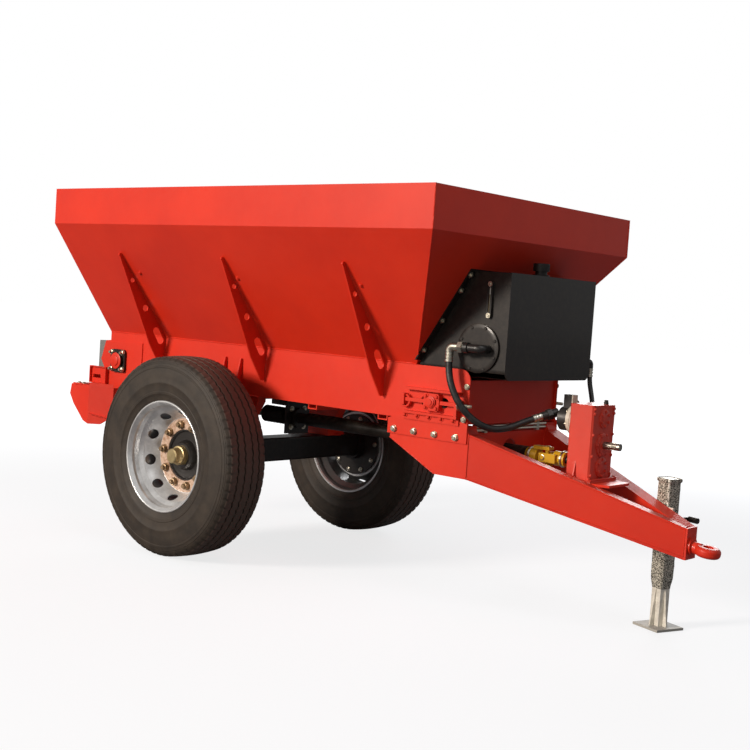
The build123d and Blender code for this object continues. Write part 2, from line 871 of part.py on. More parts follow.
# Rubber bellows on the rear shaft, behind the hanging bearing.
boot_back = -120
boot_front = 50
boot_folds = 7
pleat = (boot_front - boot_back) / (2 * boot_folds)
with BuildPart() as boot:
    with BuildSketch(side_plane(0)):
        with BuildLine():
            inner = driveline_height + shaft_end_radius
            steps = range(2 * boot_folds + 1)
            ridges = [(boot_back + pleat * i, inner + (30 if i % 2 else 14)) for i in steps]
            Polyline((boot_back, inner), *ridges, (boot_front, inner), close=True)
        make_face()
    revolve(axis=Axis((axle_x, 0, driveline_height), (1, 0, 0)))
save(boot, "shaft_boot")

# Hanging plate with the middle bearing of the driveline, and the bellows guard behind it.
with BuildPart() as centre_bearing:
    with BuildSketch(Plane.YZ.offset(axle_x + bearing_station)):
        with Locations((0, driveline_height - 10)):
            Rectangle(190, 160)
        with Locations((0, driveline_height)):
            Circle(30 + fit, mode=Mode.SUBTRACT)
    extrude(amount=10)
    with BuildSketch(Plane.YZ.offset(axle_x + bearing_station + 10)):
        with Locations((0, driveline_height)):
            Circle(58)
            Circle(30 + fit, mode=Mode.SUBTRACT)
    extrude(amount=26)
    with BuildSketch(Plane.XY.offset(driveline_height + 70)):
        with Locations((axle_x + bearing_station + 5 - 60, 0)):
            Rectangle(130, 180)
    extrude(amount=side_bottom - 26 - driveline_height - 70)
save(centre_bearing, "centre_bearing")

# ---------------------------------------------------------------- spreading discs
rear_case_front = -840
rear_case_back = -945
hanger_bottom = 812
gear_bottom = 530
drive_z = 588
disc_shaft_radius = 20
with BuildPart() as rear_gearbox:
    with BuildSketch(Plane.XY.offset(gear_bottom)):
        with Locations((axle_x + (rear_case_front + rear_case_back) / 2, 0)):
            Rectangle(rear_case_front - rear_case_back, 190)
    extrude(amount=hanger_bottom - gear_bottom)
    with BuildSketch(Plane.YZ.offset(axle_x + rear_case_front)):
        with Locations((0, driveline_height)):
            Circle(shaft_end_radius + fit)
    extrude(amount=-40, mode=Mode.SUBTRACT)
    with BuildSketch(Plane.YZ.offset(axle_x + rear_case_back)):
        with Locations((0, drive_z)):
            Circle(32)
    extrude(amount=disc_x - axle_x - rear_case_back)
    with BuildSketch(Plane.XZ):
        with Locations((disc_x, drive_z)):
            Circle(32)
    extrude(amount=disc_spacing / 2, both=True)
    for y in (-disc_spacing / 2, 0, disc_spacing / 2):
        with BuildSketch(Plane.XY.offset(gear_bottom)):
            with Locations((disc_x, y)):
                Circle(62)
        extrude(amount=disc_height - 22 - gear_bottom)
    for y in (-disc_spacing / 2, disc_spacing / 2):
        with BuildSketch(Plane.XY.offset(disc_height - 22)):
            with Locations((disc_x, y)):
                Circle(disc_shaft_radius + fit)
        extrude(amount=-60, mode=Mode.SUBTRACT)
save(rear_gearbox, "spreader_gearbox")

# Box section between the side plates that carries the gearbox and the guards.
hanger_station = (rear_case_front + rear_case_back) / 2
with BuildPart() as hanger:
    with BuildSketch(Plane.XZ.offset(-inner_half)):
        with Locations((axle_x + hanger_station, (hanger_bottom + side_bottom + 8) / 2)):
            Rectangle(90, side_bottom + 8 - hanger_bottom)
            Rectangle(78, side_bottom - 4 - hanger_bottom, mode=Mode.SUBTRACT)
    extrude(amount=2 * inner_half)
    for side in (-1, 1):
        with BuildSketch(side_plane(side * inner_half)):
            with Locations((hanger_station, (hanger_bottom + 950) / 2)):
                Rectangle(90, 950 - hanger_bottom)
        extrude(amount=side * 6)
save(hanger, "gearbox_hanger")

vane_height = 46
for name, side in sides:
    centre = (disc_x, side * disc_spacing / 2)
    with BuildPart() as disc:
        with BuildSketch(Plane.XY.offset(disc_height)):
            with Locations(centre):
                Circle(disc_radius)
        extrude(amount=5)
        with BuildSketch(Plane.XY.offset(disc_height)):
            with Locations(centre):
                Circle(disc_shaft_radius)
        extrude(amount=-70)
        with BuildSketch(Plane.XY.offset(disc_height + 5)):
            with Locations(centre):
                Circle(34)
        extrude(amount=26)
        with BuildSketch(Plane.XY.offset(disc_height + 5)):
            with Locations(centre):
                with PolarLocations(135, 4, start_angle=45):
                    Rectangle(195, 5, rotation=-12 * side)
        extrude(amount=vane_height)
    save(disc, f"spreading_disc_{name}")

# Square tube stubs at the sides of the chute, each with a slotted end box.
stub_inner = 290
end_length = 165
end_height = 106
with BuildPart() as outriggers:
    for side in (-1, 1):
        with BuildSketch(side_plane(side * stub_inner)):
            with Locations((tube_x - axle_x, tube_z)):
                RectangleRounded(tube_size, tube_size, 8)
                Rectangle(tube_size - 16, tube_size - 16, mode=Mode.SUBTRACT)
        extrude(amount=-side * (trough_half_width - stub_inner))
        with BuildSketch(side_plane(side * trough_half_width)):
            with Locations((tube_x - axle_x + 14, tube_z + 2)):
                Rectangle(end_length, end_height)
        extrude(amount=-side * 24)
        with BuildSketch(side_plane(side * (trough_half_width + 24))):
            with Locations((tube_x - axle_x + 14, tube_z + 2)):
                Rectangle(end_length - 10, end_height - 10)
        extrude(amount=side * 16, mode=Mode.SUBTRACT)
        with BuildSketch(side_plane(side * (trough_half_width + 8))):
            with Locations((tube_x - axle_x - 10, tube_z - 8)):
                Rectangle(74, 22)
        extrude(amount=side * 8, mode=Mode.SUBTRACT)
save(outriggers, "side_outriggers")

# Faceted guards round the discs, cut away below at the back, and the brackets that hold them.
guard_top = hanger_bottom
guard_plan = ((-1333, 530), (-1120, 545), (-975, 470), (-930, 300), (-930, 110))
guard_side = (
    (-1318, guard_top),
    (-1333, 749),
    (-1287, 690),
    (-1172, 596),
    (-1117, 580),
    (-1045, 583),
    (-985, 626),
    (-920, 650),
    (-920, guard_top),
)
with BuildPart() as guard:
    for side in (-1, 1):
        with BuildSketch():
            with BuildLine():
                outer = Polyline(*[(axle_x + x, side * y) for x, y in guard_plan])
                offset(amount=3, side=Side.LEFT if side < 0 else Side.RIGHT)
            make_face()
        extrude(amount=guard_top)
    with BuildSketch(side_plane(-wheel_track / 2)):
        with BuildLine():
            Polyline(*guard_side, close=True)
        make_face()
    extrude(amount=-wheel_track, mode=Mode.INTERSECT)
save(guard, "spreader_guards")

with BuildPart() as guard_brackets:
    for side in (-1, 1):
        with BuildSketch(Plane.XY.offset(guard_top)):
            with Locations((tube_x, side * (guard_plan[1][1] + stub_inner) / 2)):
                Rectangle(80, guard_plan[1][1] - stub_inner)
        extrude(amount=tube_z - tube_size / 2 - guard_top)
save(guard_brackets, "guard_brackets")

# ---------------------------------------------------------------- discharge
# A sliding gate meters the load at the back of the conveyor; a hood turns it on to the discs.
gate_bottom = floor_top + slat_height + 8
gate_top = 1330
gate_lift = 150
guide_depth = 14
with BuildPart() as gate:
    with BuildSketch(Plane.YZ.offset(axle_x - hopper_back - 5)):
        with Locations((0, (gate_bottom + gate_top) / 2)):
            Rectangle(2 * inner_half - 28, gate_top - gate_bottom)
    extrude(amount=-4)
    with BuildSketch(Plane.YZ.offset(axle_x - hopper_back - 9)):
        with Locations((0, gate_top - 16)):
            Rectangle(220, 24)
    extrude(amount=-26)
save(gate, "rear_gate")

with BuildPart() as guides:
    for side in (-1, 1):
        edge_y = side * (inner_half - 14)
        with BuildSketch(Plane.XY.offset(fold_height + 12)):
            with Locations((axle_x - hopper_back - guide_depth / 2, edge_y + side * 4)):
                Rectangle(guide_depth, 30)
            with Locations((axle_x - hopper_back - 7, edge_y - side * 4)):
                Rectangle(4.6, 16, mode=Mode.SUBTRACT)
        extrude(amount=gate_top - fold_height + 40)
save(guides, "gate_guides")

hood_back = -1250
hood_top = 1092
with BuildPart() as hood:
    for side in (-1, 1):
        with BuildSketch(side_plane(side * inner_half)):
            with BuildLine():
                Polyline(
                    (hood_back, hood_top),
                    (-hopper_back - 40, hood_top),
                    (-hopper_back - 60, tube_z + tube_size / 2),
                    (hood_back, tube_z + tube_size / 2),
                    close=True,
                )
            make_face()
        extrude(amount=side * 3)
    with BuildSketch(side_plane(-inner_half)):
        with BuildLine():
            Polyline(
                (-hopper_back - 40, hood_top),
                (hood_back, hood_top),
                (hood_back, 940),
                (hood_back + 3, 940),
                (hood_back + 3, hood_top - 3),
                (-hopper_back - 40, hood_top - 3),
                close=True,
            )
        make_face()
    extrude(amount=-2 * inner_half)
save(hood, "discharge_hood")

# ---------------------------------------------------------------- oil tank
front_slope = (hopper_front - trough_front) / (band_height - fold_height)
tank_front = 1830
tank_top = 1622
tank_bottom = 1117
tank_half = inner_half - 3
tank_wall = 3
flange = 6


def front_wall(height, out):
    """Station on the hopper's sloping front wall, moved out by a horizontal distance."""
    return trough_front + front_slope * (height - fold_height) + out


def tank_outline(inset):
    """Side view of the tank, drawn in by its wall."""
    back = flange + 1.3 * inset
    low = tank_bottom + inset
    high = tank_top - inset
    return [
        (front_wall(fold_height + 12, back), low),
        (front_wall(fold_height + 12, back), fold_height + 12),
        (front_wall(high, back), high),
        (tank_front - inset, high),
        (tank_front - inset, low),
    ]


with BuildPart() as tank:
    with BuildSketch(side_plane(-tank_half)):
        with BuildLine():
            Polyline(*tank_outline(0), close=True)
        make_face()
    extrude(amount=-2 * tank_half)
    bottom_edges = tank.edges().filter_by(Axis.X).group_by(Axis.Z)[0]
    fillet(bottom_edges, 45)
    with BuildSketch(side_plane(tank_wall - tank_half)):
        with BuildLine():
            Polyline(*tank_outline(tank_wall), close=True)
        make_face()
    extrude(amount=2 * tank_wall - 2 * tank_half, mode=Mode.SUBTRACT)
    with BuildSketch(side_plane(-tank_half - 45)):
        with BuildLine():
            Polyline(
                (front_wall(fold_height + 20, 0), fold_height + 20),
                (front_wall(tank_top + 8, 0), tank_top + 8),
                (front_wall(tank_top + 8, flange), tank_top + 8),
                (front_wall(fold_height + 20, flange), fold_height + 20),
                close=True,
            )
        make_face()
    extrude(amount=-2 * tank_half - 90)
save(tank, "oil_tank")

cover_x = 1673
cover_z = 1258
cover_radius = 118
with BuildPart() as cover:
    with BuildSketch(side_plane(-tank_half)):
        with Locations((cover_x, cover_z)):
            Circle(cover_radius)
    extrude(amount=8)
    with BuildSketch(side_plane(-tank_half - 8)):
        with Locations((cover_x, cover_z)):
            with PolarLocations(cover_radius - 14, 8, start_angle=22.5):
                RegularPolygon(8, 6)
    extrude(amount=6)
save(cover, "tank_cover")

gauge_x = 1722
with BuildPart() as gauge:
    with BuildSketch(side_plane(-tank_half)):
        with Locations((gauge_x, 1490)):
            SlotOverall(170, 26, rotation=90)
    extrude(amount=14)
    with BuildSketch(side_plane(-tank_half - 14)):
        with Locations((gauge_x, 1490)):
            SlotOverall(120, 12, rotation=90)
    extrude(amount=-5, mode=Mode.SUBTRACT)
save(gauge, "level_gauge")

with BuildPart() as cap:
    for radius, low, high in ((42, 0, 10), (30, 10, 28), (40, 28, 65)):
        with BuildSketch(Plane.XY.offset(tank_top + low)):
            with Locations((axle_x + 1735, 10)):
                Circle(radius)
        extrude(amount=high - low)
save(cap, "filler_cap")

# ---------------------------------------------------------------- parking jack
jack_station = 2432
jack_tube_size = 76
jack_leg_size = 60
jack_plate = 10
jack_bottom = 270
jack_top = 700
jack_leg_top = 560
jack_raise = 75
jack_extend = 180
foot_size = 166
web_top = 185
foot_thickness = 12
jack_y = trough_half_width - tan(rail_angle) * (jack_station - rail_rear)
jack_y += (jack_plate + jack_tube_size / 2) / cos(rail_angle)
jack_dir = (cos(rail_angle), -sin(rail_angle), 0)


def jack_plane(height):
    """Level plane at the jack, turned to line up with the left rail."""
    return Plane(origin=(axle_x + jack_station, jack_y, height), x_dir=jack_dir, z_dir=(0, 0, 1))


with BuildPart() as jack_tube:
    with BuildSketch(jack_plane(jack_bottom)):
        RectangleRounded(jack_tube_size, jack_tube_size, 6)
        Rectangle(jack_leg_size + 2 * fit, jack_leg_size + 2 * fit, mode=Mode.SUBTRACT)
    extrude(amount=jack_top - jack_bottom)
    with BuildSketch(jack_plane(jack_top)):
        RectangleRounded(jack_tube_size + 12, jack_tube_size + 12, 8)
    extrude(amount=10)
    with BuildSketch(jack_plane(455)):
        with Locations((0, -jack_tube_size / 2 - jack_plate / 2)):
            Rectangle(170, jack_plate)
    extrude(amount=130)
save(jack_tube, "jack_tube")

with BuildPart() as jack_leg:
    with BuildSketch(jack_plane(foot_thickness)):
        RectangleRounded(jack_leg_size, jack_leg_size, 4)
        Rectangle(jack_leg_size - 10, jack_leg_size - 10, mode=Mode.SUBTRACT)
    extrude(amount=jack_leg_top - foot_thickness)
    with BuildSketch(jack_plane(0)):
        Rectangle(foot_size, foot_size)
    extrude(amount=foot_thickness)
    for turn in range(4):
        web = jack_plane(0).rotated((0, 0, 90 * turn))
        upright = Plane(origin=web.origin, x_dir=web.x_dir, z_dir=-web.y_dir)
        with BuildSketch(upright):
            with BuildLine():
                Polyline(
                    (jack_leg_size / 2, foot_thickness),
                    (jack_leg_size / 2 + 26, foot_thickness),
                    (jack_leg_size / 2 + 4, web_top),
                    (jack_leg_size / 2, web_top),
                    close=True,
                )
            make_face()
        extrude(amount=3, both=True)
save(jack_leg, "jack_leg")

# Folding crank on the front of the jack, its grip turned to the outside.
crank_height = 531
crank_offset = 62


def along_jack(across, distance):
    """Plane square to the rail's direction, beside the jack and at a distance in front of it."""
    base = jack_plane(crank_height)
    middle = base.origin + base.y_dir * across
    return Plane(origin=middle, x_dir=(0, 0, 1), z_dir=base.x_dir).offset(distance)


with BuildPart() as crank:
    for across, start, length, radius in (
        (0, jack_tube_size / 2, 26, 14),
        (0, jack_tube_size / 2 + 26, 22, 8),
        (crank_offset, jack_tube_size / 2 + 46, 52, 14),
    ):
        with BuildSketch(along_jack(across, start)):
            Circle(radius)
        extrude(amount=length)
    with BuildSketch(along_jack(crank_offset / 2, jack_tube_size / 2 + 36)):
        Rectangle(18, crank_offset + 20)
    extrude(amount=10)
save(crank, "jack_crank")

# ---------------------------------------------------------------- hydraulic lines
# Elbows on the tank, and two hoses from them to the pump and its valve.
def hose(route, radius, name):
    """A hose along its route: straight runs joined by arcs as large as the runs allow."""
    points = [Vector(axle_x + x, y, z) for x, y, z in route]
    radii = []
    for before, here, after in zip(points, points[1:], points[2:]):
        shorter = min((here - before).length, (after - here).length)
        turn = (here - before).get_angle(after - here)
        radii.append(0.45 * shorter / tan(radians(turn / 2)))
    print(name, "radii", [round(r) for r in radii])
    with BuildPart() as tube:
        with BuildLine() as path:
            FilletPolyline(*points, radius=radii)
        with BuildSketch(Plane(origin=path.line @ 0, z_dir=path.line % 0)):
            Circle(radius)
        sweep()
    length = path.wires()[0].length
    ratio = tube.part.volume / (pi * radius**2 * length)
    print(name, "length", round(length), "volume ratio", round(ratio, 4))
    save(tube, name)


hose(suction_route, suction_radius, "suction_hose")
hose(return_route, return_radius, "return_hose")

with BuildPart() as elbows:
    with BuildLine() as path:
        FilletPolyline(
            (axle_x + 1735, -tank_half - 8, elbow_z),
            (axle_x + 1735, elbow_y, elbow_z),
            (axle_x + 1556, elbow_y, elbow_z),
            (axle_x + 1556, elbow_y, 1232),
            radius=24,
        )
    with BuildSketch(Plane(origin=path.line @ 0, z_dir=path.line % 0)):
        Circle(20)
    sweep()
    with BuildSketch(Plane.YZ.offset(axle_x + 1612)):
        with Locations((elbow_y, elbow_z)):
            RegularPolygon(29, 6)
    extrude(amount=26)
    with BuildSketch(Plane.YZ.offset(axle_x + 1646)):
        with Locations((elbow_y, elbow_z)):
            Circle(26)
    extrude(amount=22)
    with BuildLine() as path:
        FilletPolyline(
            (axle_x + 1808, tank_half, 1212),
            (axle_x + 1808, 425, 1212),
            (axle_x + 1808, 425, 1180),
            radius=20,
        )
    with BuildSketch(Plane(origin=path.line @ 0, z_dir=path.line % 0)):
        Circle(15)
    sweep()
save(elbows, "tank_elbows")

pipe_x = 1636
with BuildPart() as pipes:
    for z in (858, 876):
        with BuildSketch(Plane.XZ.offset(-310)):
            with Locations((axle_x + pipe_x, z)):
                Circle(7)
        extrude(amount=620)
    for y in (-230, 230):
        with Locations((axle_x + pipe_x - 3, y, (rail_top + 886) / 2)):
            Box(20, 24, 886 - rail_top)
save(pipes, "steel_pipes")

baffle_bottom = floor_top + slat_height + 10
with BuildPart() as baffle:
    with BuildSketch(Plane.YZ.offset(axle_x + trough_front)):
        with Locations((0, (fold_height + baffle_bottom) / 2)):
            Rectangle(2 * inner_half, fold_height - baffle_bottom)
    extrude(amount=-sheet)
save(baffle, "front_baffle")
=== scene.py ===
from math import atan2, cos, pi, radians, sin
from random import Random

import bmesh
import bpy
from mathutils import Matrix, Vector


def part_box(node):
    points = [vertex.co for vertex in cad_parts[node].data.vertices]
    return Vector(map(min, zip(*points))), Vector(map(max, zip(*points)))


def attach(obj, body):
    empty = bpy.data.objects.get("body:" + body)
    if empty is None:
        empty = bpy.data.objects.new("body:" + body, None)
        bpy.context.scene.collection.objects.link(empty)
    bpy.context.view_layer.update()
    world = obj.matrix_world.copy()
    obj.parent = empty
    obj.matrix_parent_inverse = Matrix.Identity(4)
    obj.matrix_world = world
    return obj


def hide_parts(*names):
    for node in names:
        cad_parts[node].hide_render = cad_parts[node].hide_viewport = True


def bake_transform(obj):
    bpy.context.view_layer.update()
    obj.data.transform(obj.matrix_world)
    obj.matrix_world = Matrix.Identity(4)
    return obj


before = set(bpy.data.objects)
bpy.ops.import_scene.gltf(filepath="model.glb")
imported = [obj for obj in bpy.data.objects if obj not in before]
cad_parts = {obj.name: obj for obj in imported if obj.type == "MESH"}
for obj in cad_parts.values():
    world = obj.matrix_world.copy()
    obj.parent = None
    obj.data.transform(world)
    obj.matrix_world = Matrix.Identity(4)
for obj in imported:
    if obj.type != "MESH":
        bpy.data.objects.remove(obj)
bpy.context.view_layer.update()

scene = bpy.context.scene
scene.view_settings.view_transform = "Standard"

# ---------------------------------------------------------------- camera
# A view over the right front corner from 1.4 m above the ground, slightly rolled, as a
# standing person would hold the camera.
camera_data = bpy.data.cameras.new("camera")
camera_data.sensor_width = 36.0
camera_data.lens = 58.18
camera = bpy.data.objects.new("camera", camera_data)
scene.collection.objects.link(camera)
eye_point = (4.3532, -5.0652, 1.4340)
yaw, pitch, roll = 0.7058, -0.0584, 0.0679
ahead = Vector((-sin(yaw) * cos(pitch), cos(yaw) * cos(pitch), sin(pitch)))
level = ahead.cross(Vector((0, 0, 1))).normalized()
above = level.cross(ahead)
across = cos(roll) * level + sin(roll) * above
upright = -sin(roll) * level + cos(roll) * above
aimed = Matrix((across, upright, -ahead)).transposed().to_4x4()
camera.matrix_world = Matrix.Translation(eye_point) @ aimed
scene.camera = camera

# ---------------------------------------------------------------- floor and light
# Pale studio floor under an even white surround. A warm soft lamp stands low on the right
# like a late sun, with a weak one near the ground before it, one in front, and a low one far
# behind that skims the top faces.


def linear(code):
    """sRGB hex colour to the linear values that the shaders take."""
    parts = [int(code[i:i + 2], 16) / 255 for i in (1, 3, 5)]
    return tuple(c / 12.92 if c <= 0.04045 else ((c + 0.055) / 1.055) ** 2.4 for c in parts) + (1.0,)


def add(tree, kind, values=None, **settings):
    """Adds one node: settings are its own properties, values fill its sockets or link to them.

    A value is a number, a hex colour, a socket, or a node, which stands for its first output.
    """
    made = tree.nodes.new(kind)
    for key, value in settings.items():
        setattr(made, key, value)
    for key, value in (values or {}).items():
        if isinstance(value, bpy.types.Node):
            value = next(socket for socket in value.outputs if socket.enabled)
        if isinstance(value, bpy.types.NodeSocket):
            tree.links.new(value, made.inputs[key])
        else:
            made.inputs[key].default_value = linear(value) if isinstance(value, str) else value
    return made


def blank_material(name):
    """A new material, its tree, and the socket with an object's own coordinates."""
    made = bpy.data.materials.new(name)
    made.use_nodes = True
    tree = made.node_tree
    tree.nodes.clear()
    return made, tree, add(tree, "ShaderNodeTexCoord").outputs["Object"]


world = bpy.data.worlds.new("studio")
scene.world = world
world.use_nodes = True
tree = world.node_tree
tree.nodes.clear()
rays = add(tree, "ShaderNodeLightPath").outputs
seen = add(tree, "ShaderNodeMath", {
    0: rays["Is Camera Ray"], 1: rays["Is Transmission Ray"]}, operation="MAXIMUM")
# Glossy paint mirrors a brighter sky than the one that lights it.
sky = add(tree, "ShaderNodeMath", {0: rays["Is Glossy Ray"], 1: 0.30, 2: 0.16}, operation="MULTIPLY_ADD")
dim = add(tree, "ShaderNodeBackground", {"Color": "#FFFFFF", "Strength": sky})
white = add(tree, "ShaderNodeBackground", {"Color": "#FFFFFF", "Strength": 1.0})
surround = add(tree, "ShaderNodeMixShader", {0: seen, 1: dim, 2: white})
add(tree, "ShaderNodeOutputWorld", {"Surface": surround})

studio_floor, tree, where = blank_material("painted_studio_floor")
rays = add(tree, "ShaderNodeLightPath").outputs
matt = add(tree, "ShaderNodeBsdfDiffuse", {"Color": "#8B8E94"})
# The floor brightens from 3 m out until it meets the surround without a line.
away = add(tree, "ShaderNodeVectorMath", {0: where}, operation="LENGTH")
shine = add(tree, "ShaderNodeMapRange", {
    "Value": away, "From Min": 3.0, "From Max": 9.0, "To Min": 0.77, "To Max": 1.0},
    interpolation_type="SMOOTHSTEP")
glow = add(tree, "ShaderNodeEmission", {"Color": "#FFFFFF", "Strength": shine})
lift = add(tree, "ShaderNodeMixShader", {0: rays["Is Camera Ray"], 2: glow})
both = add(tree, "ShaderNodeAddShader", {0: matt, 1: lift})
add(tree, "ShaderNodeOutputMaterial", {"Surface": both})
floor_mesh = bpy.data.meshes.new("studio_floor")
reach = 60
corners = [(x * reach, y * reach, -0.001) for x, y in ((-1, -1), (1, -1), (1, 1), (-1, 1))]
floor_mesh.from_pydata(corners, [], [(0, 1, 2, 3)])
floor_mesh.materials.append(studio_floor)
studio = bpy.data.objects.new("studio_floor", floor_mesh)
scene.collection.objects.link(studio)


def lamp(name, place, size, power, colour="#FFFFFF"):
    """A soft square lamp that faces the middle of the machine."""
    data = bpy.data.lights.new(name, "AREA")
    data.size = size
    data.energy = power
    data.color = linear(colour)[:3]
    made = bpy.data.objects.new(name, data)
    made.location = place
    middle = Vector((0, 0, 0.9))
    made.rotation_euler = (middle - Vector(place)).to_track_quat("-Z", "Y").to_euler()
    made.visible_camera = False
    scene.collection.objects.link(made)


lamp("key_lamp", (-7.2, -20.0, 8.0), 4.5, 4900, "#FFF2E4")
lamp("front_lamp", (7.5, -2.0, 11.0), 5.0, 200)
lamp("ground_lamp", (2.5, -8.0, 0.8), 4.0, 90, "#FFF2E4")
lamp("far_lamp", (-3.5, 9.5, 3.2), 5.0, 480)

# ---------------------------------------------------------------- axle
# Square-tube beam with turned stub axles, in satin black chassis paint. Red stands welded on
# top of it carry the trough's side plates.


def clouded(tree, where, scale, detail, colours, rough=None, band=None, grit=0.5):
    """Carries a finish from one colour and roughness to another in soft clouds.

    rough is the range of roughness. band is the stretch of the cloud over which the colours
    mix, and how far, where that isn't all the way. grit is the share of fine detail.
    Returns the cloud, the colour and the roughness.
    """
    cloud = add(tree, "ShaderNodeTexNoise", {
        "Vector": where, "Scale": scale, "Detail": detail, "Roughness": grit})
    share = cloud
    if band:
        limits = dict(zip(("From Min", "From Max", "To Min", "To Max"), band))
        share = add(tree, "ShaderNodeMapRange", {"Value": cloud, **limits})
    colour = add(tree, "ShaderNodeMix", {0: share, 6: colours[0], 7: colours[1]}, data_type="RGBA")
    if rough:
        rough = add(tree, "ShaderNodeMapRange", {"Value": cloud, "To Min": rough[0], "To Max": rough[1]})
    return cloud, colour, rough


def close_material(tree, values):
    """Ends a material in its shader, with the given values, and the output."""
    shader = add(tree, "ShaderNodeBsdfPrincipled", values)
    add(tree, "ShaderNodeOutputMaterial", {"Surface": shader})


def enamel(name, fresh, faded, roughness, dust=0.25, coat=0.3, as_cast=False):
    """Sprayed gloss enamel on steel: slow colour drift, road dust, and a slight orange peel."""
    made, tree, where = blank_material(name)
    _, colour, _ = clouded(tree, where, 1.7, 4.0, (fresh, faded), band=(0.35, 0.68), grit=0.6)
    # Dust gathers on level faces, in patches 26 mm apart that break up into fine grains.
    facing = add(tree, "ShaderNodeNewGeometry")
    normal = add(tree, "ShaderNodeSeparateXYZ", {0: facing.outputs["Normal"]})
    lying = add(tree, "ShaderNodeMapRange", {
        "Value": normal.outputs["Z"], "From Min": 0.2, "From Max": 1.0, "To Min": 0.15})
    grains = add(tree, "ShaderNodeTexNoise", {
        "Vector": where, "Scale": 38.0, "Detail": 8.0, "Roughness": 0.72})
    patches = add(tree, "ShaderNodeMapRange", {
        "Value": grains, "From Min": 0.44, "From Max": 0.72, "To Max": dust})
    settled = add(tree, "ShaderNodeMath", {0: patches, 1: lying}, operation="MULTIPLY")
    dusty = add(tree, "ShaderNodeMix", {0: settled, 6: colour, 7: "#A2917C"}, data_type="RGBA")
    sheen = add(tree, "ShaderNodeMapRange", {
        "Value": grains, "To Min": roughness - 0.06, "To Max": roughness + 0.14})
    # Rolled sheet is never quite flat: soft waves 0.3 m long under a 5 mm orange peel.
    waves = add(tree, "ShaderNodeTexNoise", {"Vector": where, "Scale": 3.3, "Detail": 1.0})
    skin = add(tree, "ShaderNodeBump", {"Strength": 0.25, "Distance": 0.006, "Height": waves})
    peel = add(tree, "ShaderNodeTexNoise", {"Vector": where, "Scale": 200.0, "Detail": 1.0})
    skin = add(tree, "ShaderNodeBump", {"Strength": 0.06, "Distance": 0.0006, "Height": peel, "Normal": skin})
    if as_cast:
        # The mould's sand leaves a 4 mm grain under the paint.
        sand = add(tree, "ShaderNodeTexNoise", {
            "Vector": where, "Scale": 260.0, "Detail": 4.0, "Roughness": 0.6})
        skin = add(tree, "ShaderNodeBump", {
            "Strength": 0.35, "Distance": 0.0012, "Height": sand, "Normal": skin})
    close_material(tree, {
        "Base Color": dusty, "Roughness": sheen, "IOR": 1.5, "Specular IOR Level": 0.30,
        "Coat Weight": coat, "Coat Roughness": 0.12, "Normal": skin})
    return made


def paint(material, *names):
    """Gives CAD nodes their finish."""
    for name in names:
        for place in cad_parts[name].material_slots:
            place.material = material


black_enamel = enamel("black_chassis_enamel", "#120E0C", "#1C1714", 0.40, dust=0.28, coat=0.15)
red_enamel = enamel("red_machinery_enamel", "#DD3219", "#CE2B17", 0.40, dust=0.14, coat=0.06)
paint(black_enamel, "axle_beam")
paint(red_enamel, "axle_stands")

# ---------------------------------------------------------------- wheels
# Wide radial truck tyres with four zigzag grooves, on silver ten-stud disc wheels. The tread
# is one 47 mm pitch of rubber, set round the wheel 72 times and welded into a ring.
sides = (("right", -1), ("left", 1))


def middle_of(node):
    """The middle of a CAD node's box."""
    low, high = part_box(node)
    return (low + high) / 2


wheel = middle_of("rim_right")
axle_x, axle_z, wheel_y = wheel.x, wheel.z, -wheel.y


def about_the_axle(tree, where):
    """Nodes with a point's distance from the axle line and from the machine's middle."""
    centred = add(tree, "ShaderNodeMapping", {"Vector": where, "Location": (-axle_x, 0.0, -axle_z)})
    parts = add(tree, "ShaderNodeSeparateXYZ", {0: centred})
    flat = add(tree, "ShaderNodeCombineXYZ", {"X": parts.outputs["X"], "Y": parts.outputs["Z"]})
    from_axis = add(tree, "ShaderNodeVectorMath", {0: flat}, operation="LENGTH")
    return from_axis, add(tree, "ShaderNodeMath", {0: parts.outputs["Y"]}, operation="ABSOLUTE")


# Dry clay dust has browned the carbon-black rubber in blotches 0.1 m wide.
tyre_rubber, tree, where = blank_material("vulcanised_tyre_rubber")
_, rubber, _ = clouded(
    tree, where, 9.0, 7.0, ("#1F1A16", "#3E352C"), band=(0.36, 0.70, 0.15, 0.9), grit=0.65)
# The ribs' running faces are paler: scuffed by the road, and with a painted sheen where the rib tops catch
# the light.
from_axis, outward = about_the_axle(tree, where)
running = add(tree, "ShaderNodeMapRange", {
    "Value": from_axis, "From Min": 0.531, "From Max": 0.535, "To Max": 0.75})
scuff_and_painted_sheen = add(tree, "ShaderNodeMix", {0: running, 6: rubber, 7: "#5C4C44"}, data_type="RGBA")
# Its own grain is drawn 6 mm coarse so that it shows.
fine = add(tree, "ShaderNodeTexNoise", {
    "Vector": where, "Scale": 160.0, "Detail": 5.0, "Roughness": 0.7})
grain = add(tree, "ShaderNodeBump", {"Strength": 0.15, "Distance": 0.0008, "Height": fine})
close_material(tree, {
    "Base Color": scuff_and_painted_sheen, "Roughness": 0.62, "IOR": 1.52, "Specular IOR Level": 0.35, "Normal": grain})


def new_tree(name, *sockets):
    """A Geometry Nodes tree and its input node, with a geometry and the given named inputs."""
    made = bpy.data.node_groups.new(name, "GeometryNodeTree")
    for label, kind in (("Geometry", "Geometry"), *sockets, ("Material", "Material")):
        made.interface.new_socket(label, in_out="INPUT", socket_type="NodeSocket" + kind)
    made.interface.new_socket("Geometry", in_out="OUTPUT", socket_type="NodeSocketGeometry")
    return made, add(made, "NodeGroupInput")


def close_tree(tree, given, geometry):
    """Ends a tree in plain geometry with its material."""
    real = add(tree, "GeometryNodeRealizeInstances", {"Geometry": geometry})
    clad = add(tree, "GeometryNodeSetMaterial", {"Geometry": real, "Material": given.outputs["Material"]})
    add(tree, "NodeGroupOutput", {"Geometry": clad})


